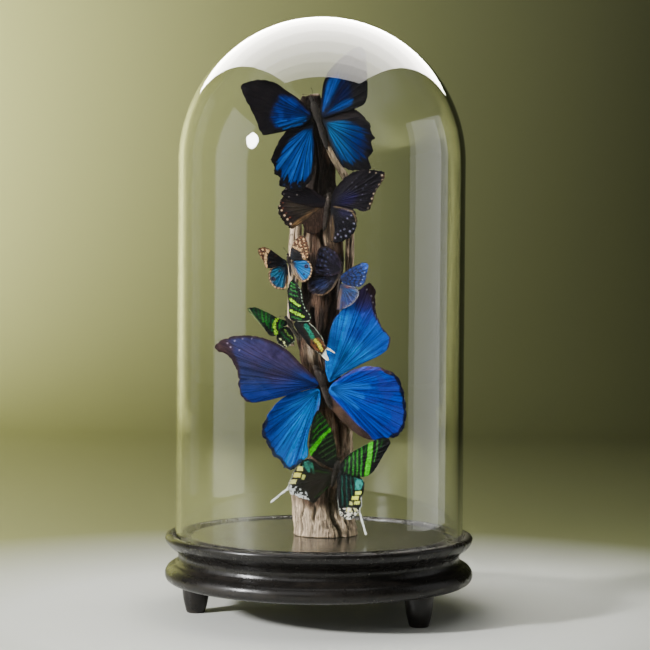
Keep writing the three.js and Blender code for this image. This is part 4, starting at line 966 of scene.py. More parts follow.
# -- 2: dark brown with pale dots on the outer margins
def paint_crow(key, S):
    P, dm, rho = S["P"], S["dm"], S["rho"]
    n = fbm(N3(P, 0.22), 111, 4); g = np.zeros(len(P)); r = ray_noise(S, 14, 112)
    base = {"fR": lin(20, 15, 22), "hR": lin(17, 13, 20), "fL": lin(17, 12, 15), "hL": lin(25, 18, 16)}[key]
    c = mixc(np.tile(base, (len(P), 1)), base * 1.9, sm(n + 0.5 * r, 0.0, 0.6) * 0.7)
    if key == "fR":
        # painted sheen: the violet patch stands for the blue gloss of the scales, alongside the metallic share
        m = spot(P, (347, 199), 10, 5.5, -0.45, 6); c = mixc(c, lin(34, 26, 92), m * (0.45 + 0.4 * sm(r, -0.3, 0.4))); g = m * 0.8
        k = spots_from(P, [(352.5, 183, 0.9), (356, 187, 0.8), (363, 189, 0.9), (362.5, 195, 0.8), (361, 200.5, 0.8), (366, 185, 0.7), (357, 178.5, 0.6), (349, 190, 0.6)], 1)
        c = mixc(c, lin(120, 118, 140), k * 0.55)
        k = spots_from(P, [(382.0, 175.5, 0.9), (382.3, 180, 0.8), (379.3, 185, 1.0), (376.8, 189.5, 0.9), (373.8, 194, 0.9), (372.0, 199, 0.9), (370.2, 204, 0.8), (368.0, 208.5, 0.8), (376, 173.2, 0.6), (370, 172.5, 0.6)], 1)
        c = mixc(c, lin(222, 200, 170), k * 0.95)
        c = mixc(c, lin(120, 84, 56), stroke(P, [(385, 173.5), (381, 184), (375, 194), (370.5, 207)], 0.5, 0.7) * 0.5)
    if key == "hR":
        k = spots_from(P, [(347.5, 218.5, 0.8), (351.5, 215.5, 0.7), (354, 224, 1.0), (344.5, 229.5, 0.9), (340.5, 231, 0.8), (338, 234.5, 0.8), (341.5, 237, 0.9), (346, 236, 1.0), (350, 231.5, 1.0), (335.5, 238, 0.9), (353.5, 229, 0.7), (343.5, 222, 0.6), (348, 211, 0.6)], 1)
        c = mixc(c, lin(158, 158, 186), k * 0.75)
        m = poly_in(P, [(331, 215), (333.5, 216), (334.5, 230), (333, 242), (329, 242), (328.5, 228)], 1.2); c = mixc(c, lin(120, 96, 64), m * (0.35 + 0.45 * sm(r, -0.2, 0.4)))
        c = mixc(c, lin(176, 148, 104), stroke(P, [(334, 206.5), (343, 208.5), (352, 211.5), (355.5, 217), (357, 223)], 0.3, 0.9) * 0.5)
        # painted sheen: a violet patch for the gloss of the scales
        m = spot(P, (345, 213), 6, 4, 0.3, 5); c = mixc(c, lin(52, 46, 92), m * 0.5)
    if key == "fL":
        k = spots_from(P, [(286, 189, 0.7), (291, 187.6, 0.6), (284, 194, 0.7), (289, 197, 0.6), (300, 190, 0.6), (297, 195, 0.6)], 1); c = mixc(c, lin(160, 148, 140), k * 0.55)
    if key == "hL":
        m = stroke(P, [(318, 209.5), (312, 212.5), (303, 219.0), (294, 226.5)], 1.4, 2.2); c = mixc(c, lin(128, 98, 60), m * 0.8 * (0.35 + 0.65 * sm(n, -0.3, 0.3)))
        m = poly_in(P, [(323, 208), (313, 214), (303, 223), (302, 226), (306, 232), (312, 235), (320, 233), (326, 222)], 1.2); c = mixc(c, lin(40, 28, 23) * 1.0, m * 0.9); c = mixc(c, lin(76, 58, 46), m * sm(fbm(np.stack([P[:, 0] * 1.6, P[:, 1] * 0.25, P[:, 0] * 0], 1), 117, 3), 0.05, 0.5) * 0.7)
        k = spots_from(P, [(280.2, 201, 0.9), (279.6, 206, 0.9), (281.7, 210.5, 0.9), (284.6, 215.5, 1.0), (287.6, 219.5, 1.0), (290.8, 224, 0.9)], 1); c = mixc(c, lin(196, 168, 140), k * 0.9)
        k = spots_from(P, [(283.0, 203, 0.7), (283.0, 208, 0.8), (286.2, 213.0, 0.8), (290.0, 217.5, 0.8)], 1); c = mixc(c, lin(126, 62, 44), k * 0.7)
        m = spot(P, (300, 208), 13, 6, 0.4, 6); c = mixc(c, lin(60, 52, 40), m * 0.5)
    edge = sm(-dm, -1.1, -0.3); c = mixc(c, lin(24, 17, 15), edge * 0.7)
    return c * (1 - 0.45 * vein_mask(S, 0.45))[:, None], g


# -- 3: cream and orange tips, blue hindwings with eyespots
def eyespot(P, c, q, r, ring):
    c = mixc(c, ring, spot(P, q, r * 1.75, e=0.4) * 0.9); c = mixc(c, lin(10, 8, 12), spot(P, q, r * 1.25, e=0.4))
    c = mixc(c, lin(120, 60, 110), spot(P, q, r * 0.75, e=0.5) * 0.6); return mixc(c, lin(225, 225, 235), spot(P, (q[0] - 0.3 * r, q[1] - 0.3 * r), 0.35, e=0.3))


def paint_pansy(key, S):
    P, dm, rho = S["P"], S["dm"], S["rho"]
    Q = warp(P, 0.8, 0.55, 120)
    n = fbm(N3(P, 0.35), 121, 4); g = np.zeros(len(P)); black = lin(9, 7, 10)
    cream, orange, brown = lin(206, 168, 120), lin(96, 60, 36), lin(46, 27, 20)
    c = np.tile(black, (len(P), 1))
    if key[0] == "f":
        fl = key == "fL"
        H2 = np.array((287.0, 262.0) if fl else (291.0, 260.5)); dq = np.linalg.norm(Q - H2, axis=1) + 0.6 * n
        b0, b1, b2 = (20.2, 23.4, 26.4) if fl else (12.4, 15.2, 20.6)
        tip = sm(dq, b1 - 0.4, b1 + 0.5); band = sm(dq, b0 - 0.4, b0 + 0.4) * (1 - tip)
        c = mixc(c, cream, band * sm(fbm(N3(P, 0.5), 179, 2), -0.45, -0.1) * 0.9); c = mixc(c, brown, tip)
        ck = np.sin((Q[:, 0] * 0.8 + Q[:, 1] * 0.6) * 1.25) * np.sin((Q[:, 1] * 0.85 - Q[:, 0] * 0.45) * 1.35)
        c = mixc(c, orange, tip * sm(ck, 0.05, 0.35) * 0.9); c = mixc(c, cream, tip * sm(-ck, 0.28, 0.6) * 0.75)
        c = mixc(c, black, np.exp(-((dq - b1) / 0.35) ** 2) * 0.6)
        c = mixc(c, cream, spots_from(Q, [(262.5, 249.8, 0.8), (266.5, 250.6, 0.8)] if fl else [(296.3, 241.8, 0.9), (303.5, 239.4, 0.9), (300, 244.0, 0.9)], 1) * 0.9)
        c = mixc(c, lin(24, 60, 96), (1 - sm(dq, 3, 11)) * sm(ray_noise(S, 9, 124), 0.0, 0.5) * 0.5); g = (1 - sm(dq, b0 - 3, b0)) * 0.4
        c = mixc(c, lin(70, 44, 30), spots_from(Q, [(275.5, 256.2, 1.1), (270.5, 262.5, 0.9)] if fl else [(295.0, 251.2, 0.9), (302.5, 252.5, 0.9)], 1, 0.6) * 0.7)
    else:
        left = key == "hL"; rr = ray_noise(S, 12, 125)
        base, hi = (lin(20, 84, 124), lin(44, 122, 156)) if left else (lin(8, 104, 178), lin(30, 146, 212))
        c = mixc(c, base, np.ones(len(P))); c = mixc(c, hi, sm(rr, -0.1, 0.4) * 0.7); g = np.full(len(P), 0.8)
        near = (1 - sm(S["dh"], 4, 10)) if left else (1 - sm(S["dh"], 2, 6))
        if left: near = np.maximum(near, sm(P[:, 0], 281, 286))
        c = mixc(c, black, near * 0.9); g = g * (1 - near)
        if not left:
            k = poly_in(Q, [(292, 268), (295, 270), (299, 277), (303, 281), (298, 279), (293, 274)], 1.0); c = mixc(c, black, k * 0.8); g = g * (1 - k)
            m = poly_in(Q, [(290.5, 261.5), (293.5, 263), (294.5, 267), (299.5, 275.5), (304, 281.5), (300, 281.5), (293.5, 274.5), (290, 268)], 0.8); c = mixc(c, lin(190, 160, 122), m * 0.85); g = g * (1 - m)
        do = dm + 0.3 * n; far = sm(S["dh"], 9, 13)
        rim = (1 - sm(do, 1.5, 2.0)) * far; c = mixc(c, lin(208, 170, 122), rim * 0.92); g = g * (1 - rim)
        c = mixc(c, lin(74, 42, 28), rim * sm(np.cos(S["th"] * 44), 0.15, 0.6) * 0.85); c = mixc(c, lin(34, 20, 16), np.exp(-((do - 2.1) / 0.32) ** 2) * far * 0.9)
        c = mixc(c, lin(150, 150, 150), np.exp(-((do - 2.75) / 0.22) ** 2) * far * sm(np.cos(S["th"] * 30), 0.0, 0.6) * 0.45)
        for q, r in (((273.3, 279.0), 1.5), ((279.3, 271.2), 0.8)) if left else (((306.6, 266.4), 1.7), ((304.2, 274.2), 0.8)):
            c = mixc(c, lin(92, 60, 42), spot(P, q, r * 1.45, e=0.5) * (0.35 if r < 1 else 0.6)); c = mixc(c, black, spot(P, q, r, e=0.4) * 0.95); c = mixc(c, lin(96, 70, 130), spot(P, q, r * 0.45, e=0.4) * 0.7)
    c = mixc(c, lin(22, 15, 14), sm(-dm, -0.7, -0.2) * 0.75)
    return c * (1 - 0.35 * vein_mask(S, 0.35))[:, None], g


# -- 4: left wings dark violet, right wings folded up and blue with white rims
def paint_cracker(key, S):
    P, dm, rho = S["P"], S["dm"], S["rho"]
    n = fbm(N3(P, 0.3), 131, 4); r = ray_noise(S, 12, 132); g = np.zeros(len(P))
    if key[1] == "L":
        c = mixc(np.tile(lin(14, 11, 19), (len(P), 1)), lin(34, 28, 46), sm(n + 0.4 * r, -0.1, 0.5) * 0.75)
        for a, w in ((0.62, 0.9), (0.78, 0.7), (0.90, 0.5)):
            k = np.exp(-((rho - a) / 0.03) ** 2) * sm(np.cos(S["th"] * 26 + a * 9), 0.1, 0.6); c = mixc(c, lin(72, 80, 122), k * w * 0.6)
        if key == "hL":
            k = stroke(P, [(341, 270), (338, 279), (332.5, 289), (325, 296)], 0.8, 1.2); c = mixc(c, lin(150, 128, 104), k * 0.65)
            c = mixc(c, lin(44, 60, 116), spot(P, (321, 284), 6, 5, 0, 5) * 0.45)
        if key == "hL":
            c = mixc(c, lin(150, 124, 92), np.exp(-((dm - 0.8) / 0.6) ** 2) * sm(P[:, 1], 286, 291) * sm(P[:, 0], 313, 318) * 0.85)
        c = mixc(c, lin(70, 50, 36), np.exp(-((dm - 0.9) / 0.4) ** 2) * 0.35)
        return c * (1 - 0.4 * vein_mask(S, 0.4))[:, None], g
    if key == "fR":
        c = mixc(np.tile(lin(8, 40, 106), (len(P), 1)), lin(20, 70, 150), sm(r, -0.2, 0.4) * 0.7); g = np.full(len(P), 0.8)
        w = np.sin(S["dh"] * 1.35 + 1.6 * np.sin(S["th"] * 9) + n * 1.6); c = mixc(c, lin(12, 14, 34), sm(w, 0.05, 0.65) * 0.9 * (1 - 0.6 * sm(rho, 0.8, 0.95)))
        c = mixc(c, lin(30, 88, 190), sm(P[:, 0], 361, 366) * sm(-P[:, 1], -274, -266) * 0.8)
        k = spots_from(P, [(366.0, 268, 0.55), (364.9, 272.5, 0.5), (364.0, 276.5, 0.5), (362.8, 280, 0.5), (361, 283.8, 0.5), (357.5, 285.6, 0.45), (361.5, 265.2, 0.45)], 1); c = mixc(c, lin(170, 178, 196), k * 0.85)
        k = spots_from(P, [(357.5, 271, 0.6), (354.0, 275.5, 0.55), (350.5, 279.5, 0.5), (360.5, 275.3, 0.5)], 1); c = mixc(c, lin(90, 116, 168), k * 0.6)
    else:
        t = sm(P[:, 1], 288, 306)
        c = (1 - t)[:, None] * lin(14, 54, 100) + t[:, None] * lin(26, 28, 84); c = mixc(c, lin(44, 30, 42), sm(n, -0.05, 0.4) * 0.6); c = mixc(c, lin(28, 76, 124), sm(r, 0.1, 0.5) * 0.45); g = np.full(len(P), 0.7)
        k = np.maximum(np.exp(-((dm - 0.75) / 0.26) ** 2), 0.7 * np.exp(-((dm - 2.0) / 0.24) ** 2) * sm(np.cos(S["th"] * 34), -0.7, 0.2)) * sm(P[:, 0], 341, 347); c = mixc(c, lin(170, 166, 164), k * 0.85); g = g * (1 - k)
        k = np.exp(-((dm - 1.35) / 0.26) ** 2) * sm(P[:, 0], 341, 347); c = mixc(c, lin(14, 14, 34), k * 0.8)
        m = poly_in(P, [(340, 288), (342.5, 289), (340.5, 300), (340, 309), (336.5, 309), (336.5, 298)], 0.8); c = mixc(c, lin(122, 98, 74), m * 0.75); g = g * (1 - m)
        c = mixc(c, lin(104, 50, 42), spot(P, (348, 287.2), 3.2, 1.1, 0.1, 0.9) * 0.8); c = mixc(c, lin(150, 120, 110), stroke(P, [(342, 285.5), (349, 286.4), (354, 289)], 0.3, 0.5) * 0.5)
    c = mixc(c, lin(30, 26, 34), sm(-dm, -0.7, -0.2) * 0.8)
    return c * (1 - 0.4 * vein_mask(S, 0.35))[:, None], g


# -- 5: small day moth, black with green bars, white tails
def paint_sunset(key, S):
    P, dm, rho = S["P"], S["dm"], S["rho"]
    n = fbm(N3(P, 0.35), 141, 4); g = np.zeros(len(P)); c = np.tile(lin(6, 7, 7), (len(P), 1))
    lime, green = lin(150, 206, 30), lin(12, 84, 34)
    def bar(pts, w, col, k=0.95, e=0.6):
        nonlocal c, g
        Q = warp(P, 0.9, 0.9, 143)
        m = stroke(Q, pts, w * 0.72, e) * sm(fbm(N3(P, 1.3), 142, 2), -0.55, -0.05); c = mixc(c, col, m * k); g = np.maximum(g, m)
    if key == "fL":
        bar([(277.6, 319.3), (275.0, 322.0)], 1.5, lime); bar([(274.6, 324.6), (274.6, 327.2)], 1.7, lime); bar([(275.6, 330.4), (276.4, 333.4)], 1.7, lime); bar([(272.8, 320.0), (272.0, 326.0), (272.5, 331.0)], 0.6, green)
        for x0, y0, x1, y1, w in ((254.0, 309.0, 256.0, 315.5, .55), (258.0, 309.4, 260.0, 318.2, .6), (262.0, 311.0, 263.4, 321.5, .65), (266.0, 313.2, 267.0, 325.0, .7), (269.4, 315.6, 269.2, 328.4, .6), (281.0, 321.0, 279.2, 328.0, .8), (284.0, 321.8, 281.6, 327.5, .55)):
            bar([(x0, y0), ((x0 + x1) / 2 - 0.4, (y0 + y1) / 2), (x1, y1)], w, lin(30, 118, 34) if w > 0.6 else green, 0.8)
        c = mixc(c, lin(120, 140, 90), stroke(P, [(249, 309.3), (256, 318.2), (264.5, 329.0)], 0.3, 0.5) * 0.5)
    elif key == "fR":
        bar([(290.4, 299.0), (294.5, 302.5), (299.6, 305.8)], 1.15, lime); bar([(291.0, 310.6), (297.0, 313.4), (303.2, 316.6)], 1.35, lime); bar([(291.0, 305.0), (297.0, 309.0), (302.0, 311.0)], 0.5, green)
        for a, b in (((290.0, 293.8), (298.2, 296.6)), ((290.6, 289.2), (297.2, 292.2)), ((291.0, 285.8), (295.8, 288.2)), ((291.4, 283.0), (294.4, 284.8)), ((292.0, 316.8), (301.0, 319.6))):
            bar([a, b], 0.5, lin(44, 124, 54), 0.85)
        c = mixc(c, lin(190, 210, 180), np.exp(-((dm - 0.7) / 0.3) ** 2) * sm(np.cos(P[:, 1] * 1.9), 0.0, 0.5) * sm(P[:, 0], 296, 300) * 0.7)
    elif key == "hR":
        c = mixc(c, lin(34, 25, 20), poly_in(P, [(300, 322), (313, 328), (322, 338), (324, 345), (316, 344), (305, 334)], 2.0) * (0.6 + 0.4 * n))
        bar([(306.0, 325.5), (309.6, 332.0), (313.8, 340.0)], 2.0, lin(24, 128, 104), 0.9, 1.0)
        m = poly_in(P, [(311, 339), (318, 337.5), (323.5, 342), (325.5, 347.5), (322, 352.5), (315, 349.5), (310.5, 344.5)], 0.9); c = mixc(c, lin(86, 48, 20), m * 0.8)
        bar([(315.5, 340.2), (319.0, 344.2), (321.6, 349.4)], 1.6, lin(196, 200, 44), 0.9, 0.8)
        k = spots_from(P, [(313.6, 343.0, 0.95), (317.2, 347.0, 0.9), (320.6, 341.6, 0.8), (323.0, 346.0, 0.8), (316.0, 343.6, 0.6)], 1); c = mixc(c, lin(12, 10, 10), k * 0.95); g = g * (1 - k)
        m = sm(P[:, 0] + P[:, 1] * 0.7, 569.5, 572.5); c = mixc(c, lin(214, 220, 206), m * 0.9); g = g * (1 - m)
        m = np.exp(-((dm - 0.42) / 0.24) ** 2) * np.maximum(sm(P[:, 1], 344, 348) * sm(P[:, 0], 314, 318), sm(P[:, 0] - P[:, 1] * 0.9, 12.0, 16.0) * sm(P[:, 0], 298, 302)) * sm(fbm(N3(P, 0.8), 180, 2), -0.5, 0.1); c = mixc(c, lin(190, 196, 178), m * 0.8)
    else:
        m = spots_from(warp(P, 1.2, 0.9, 145), [(280.4, 339.0, 1.3, 0.7, 0.9), (284.0, 342.0, 1.4, 0.8, 0.8), (286.0, 345.6, 1.0, 0.6, 0.4)], 1); c = mixc(c, lin(186, 190, 130), m * 0.85)
        bar([(281.0, 331.0), (284.0, 336.0), (289.0, 341.0)], 0.8, green, 0.7); bar([(285.0, 330.0), (288.0, 334.5), (292.0, 338.0)], 0.6, lin(120, 160, 60), 0.7)
        m = np.exp(-((dm - 0.45) / 0.28) ** 2) * sm(P[:, 1], 338, 342) * sm(fbm(N3(P, 0.8), 181, 2), -0.3, 0.2); c = mixc(c, lin(190, 196, 170), m * 0.6)
    return c, g


# -- 6: the large blue
def paint_morpho(key, S):
    P, dm, rho = S["P"], S["dm"], S["rho"]
    n = fbm(N3(P, 0.05), 151, 4); n2 = fbm(N3(P, 0.4), 152, 3); g = np.zeros(len(P)); brown = lin(40, 27, 28)
    r = 0.6 * ray_noise(S, 26, 153) + 0.55 * ray_noise(S, 70, 154); vm = vein_mask(S, 0.42)
    if key == "fL":
        # painted shade: this forewing's dull violet blue stands for the blue scales turned away from the light
        c = mixc(np.tile(lin(36, 46, 88), (len(P), 1)), lin(52, 46, 74), sm(n, -0.35, 0.35)); c = mixc(c, lin(22, 38, 92), sm(r, 0.0, 0.5) * 0.5); c = mixc(c, lin(14, 14, 34), sm(-r, 0.0, 0.45) * 0.6)
        dt, _ = part_edge("morpho", "fL", 8, 12, P); c = mixc(c, lin(22, 50, 142), (1 - sm(dt, 0, 26)) * 0.8); g = 0.35 + 0.45 * (1 - sm(dt, 0, 30))
        c = mixc(c, lin(66, 54, 92), spot(P, (262, 352), 26, 9, 0.22, 12) * 0.4)
        d1, _ = part_edge("morpho", "fL", 0, 7, P); k = 1 - sm(d1 + n2 * 0.7, 1.6, 4.2); c = mixc(c, brown, k * 0.92); g = g * (1 - k)
        d2, _ = dist_poly(P, on_outline("morpho", "fL", 12, 0, 40)); w = 2.6 + 5.0 * sm(-P[:, 1], -380, -350)
        k = 1 - sm(d2 + n2 * 0.9, w * 0.55, w); c = mixc(c, brown, k * 0.95); g = g * (1 - k)
        k = spot(P, (224, 347), 10, 7.5, 0.3, 6); c = mixc(c, lin(44, 28, 28), k * 0.9); g = g * (1 - k)
        k = spots_from(P, [(235, 341, 0.7), (231, 347, 0.6), (228, 343, 0.5), (239.6, 350.2, 0.5), (243.0, 338.8, 0.5), (252.0, 338.6, 0.45)], 1, 0.5); c = mixc(c, lin(184, 178, 190), k * 0.7)
    elif key == "hL":
        # painted highlight and shade: the blue turns brighter azure towards the inner side and, in the next lines,
        # duller purple towards the outer side, as the scales catch the light unevenly
        c = np.tile(lin(0, 84, 190), (len(P), 1)); inn = sm(P[:, 0] + 0.25 * (P[:, 1] - 430), 276, 304); c = mixc(c, lin(0, 132, 250), inn * 0.85); c = mixc(c, lin(0, 158, 250), inn * sm(r, -0.1, 0.35) * 0.8); c = mixc(c, lin(0, 34, 120), sm(-r, 0.02, 0.40) * 0.85)
        c = mixc(c, lin(30, 44, 120), sm(-P[:, 0] - 0.3 * (P[:, 1] - 430), -286, -266) * (0.5 + 0.4 * sm(n2, -0.3, 0.3)) * 0.85)
        c = mixc(c, lin(22, 50, 136), poly_in(P, [(318, 388), (300, 390), (284, 394), (272, 404), (276, 411), (290, 404), (305, 399)], 4) * 0.8); g = np.full(len(P), 0.95)
        c = mixc(c, lin(10, 50, 150), sm(-P[:, 0], -280, -262) * 0.4)
        do, f = dist_poly(P, on_outline("morpho", "hL", 4, 12, 60)); w = 4.0 + 1.7 * np.abs(np.sin(f * 7.5 * np.pi))
        k = 1 - sm(do + n2 * 0.35, w * 0.55, w); c = mixc(c, lin(14, 14, 22), k * 0.96); g = g * (1 - k)
        k = spots_from(P, [(264.0, 436.0, 0.6), (269.0, 446.0, 0.65), (276.0, 456.5, 0.7), (284.5, 464.2, 0.65), (294.5, 465.6, 0.6)], 1, 0.5); c = mixc(c, lin(150, 170, 200), k * 0.0 + 0)
        m = poly_in(P, [(319, 398), (316, 412), (310, 432), (307.5, 447), (309, 447), (312, 428), (320, 410)], 1.4); c = mixc(c, lin(96, 92, 110), m * 0.6); g = g * (1 - 0.6 * m)
    elif key == "fR":
        # painted highlight: the brilliant azure towards the hinge and the lower edge stands for the scales catching
        # the light
        c = np.tile(lin(4, 104, 226), (len(P), 1)); az = np.maximum(sm(-P[:, 0], -358, -338), sm(P[:, 1] - 0.45 * P[:, 0], 176, 192))
        c = mixc(c, lin(0, 136, 255), az * 0.9); c = mixc(c, lin(0, 158, 252), az * sm(r, -0.05, 0.4) * 0.75); c = mixc(c, lin(0, 44, 150), sm(-r, 0.0, 0.42) * 0.8); g = np.full(len(P), 0.95)
        vt = sm(fbm(N3(P, 0.09), 171, 3), -0.1, 0.35) * (1 - 0.7 * az); c = mixc(c, lin(40, 60, 176), vt * 0.6)
        m = sm(-P[:, 1] + 0.5 * P[:, 0], -146, -122) * sm(P[:, 0], 338, 358); c = mixc(c, lin(46, 48, 150), m * 0.85); m2 = sm(-P[:, 1], -318, -296) * sm(P[:, 0], 346, 360); c = mixc(c, lin(52, 40, 66), m2 * 0.92); g = g * (1 - 0.5 * m)
        d2, _ = dist_poly(P, on_outline("morpho", "fR", 8, 14, 50)); w = 2.2 + 3.2 * sm(-P[:, 1], -330, -300); k = 1 - sm(d2 + n2 * 0.6, w * 0.5, w); c = mixc(c, brown, k * 0.95); g = g * (1 - k)
        k = spot(P, (371, 289), 5.5, 6.5, 0.2, 4); c = mixc(c, lin(40, 26, 28), k * 0.92); g = g * (1 - k)
        d1, _ = part_edge("morpho", "fR", 1, 8, P); k = 1 - sm(d1, 0.5, 1.7); c = mixc(c, lin(30, 26, 40), k * 0.85); g = g * (1 - k)
        k = spots_from(P, [(371, 296, 0.7), (372.5, 302.5, 0.6), (366.5, 289.5, 0.6)], 1, 0.5); c = mixc(c, lin(180, 178, 196), k * 0.6)
    else:
        c = np.tile(lin(6, 58, 186), (len(P), 1)); c = mixc(c, lin(10, 96, 236), sm(r, -0.1, 0.4) * 0.8); c = mixc(c, lin(8, 24, 112), sm(-r, 0.02, 0.42) * 0.85); g = np.full(len(P), 0.9)
        c = mixc(c, lin(52, 58, 168), sm(fbm(N3(P, 0.07), 172, 3), -0.15, 0.3) * sm(P[:, 0], 352, 372) * 0.65)
        for pts in ([(331, 389), (345, 391), (362, 397)], [(331, 390), (344, 397), (357, 408)], [(332, 387.5), (348, 386), (368, 386)]):
            k = stroke(P, pts, 2.0, 3.5, True); c = mixc(c, lin(0, 130, 255), k * 0.7)
        do, f = dist_poly(P, on_outline("morpho", "hR", 4, 10, 60)); w = 3.6 + 1.6 * np.abs(np.sin(f * 6.5 * np.pi)); k = 1 - sm(do + n2 * 0.35, w * 0.6, w); c = mixc(c, lin(8, 7, 14), k * 0.97); g = g * (1 - k)
        m = poly_in(P, [(322, 392), (329.5, 393.5), (341.0, 406.0), (354.5, 421.5), (369, 434.5), (375, 444), (360, 440), (346, 430), (330, 413)], 1.2); c = mixc(c, lin(60, 45, 24), m * 0.98); g = g * (1 - m)
        c = mixc(c, lin(22, 15, 8), m * sm(ray_noise(S, 60, 158), -0.1, 0.4) * 0.6)
        m = stroke(P, [(336, 380.0), (346, 373.6), (357, 369.2), (370, 367.4), (381, 368.4), (389, 372.4)], 1.3, 1.8); c = mixc(c, lin(84, 62, 56), m * 0.7 * (0.4 + 0.6 * sm(ray_noise(S, 50, 173), -0.2, 0.3))); g = g * (1 - m)
    return c, g


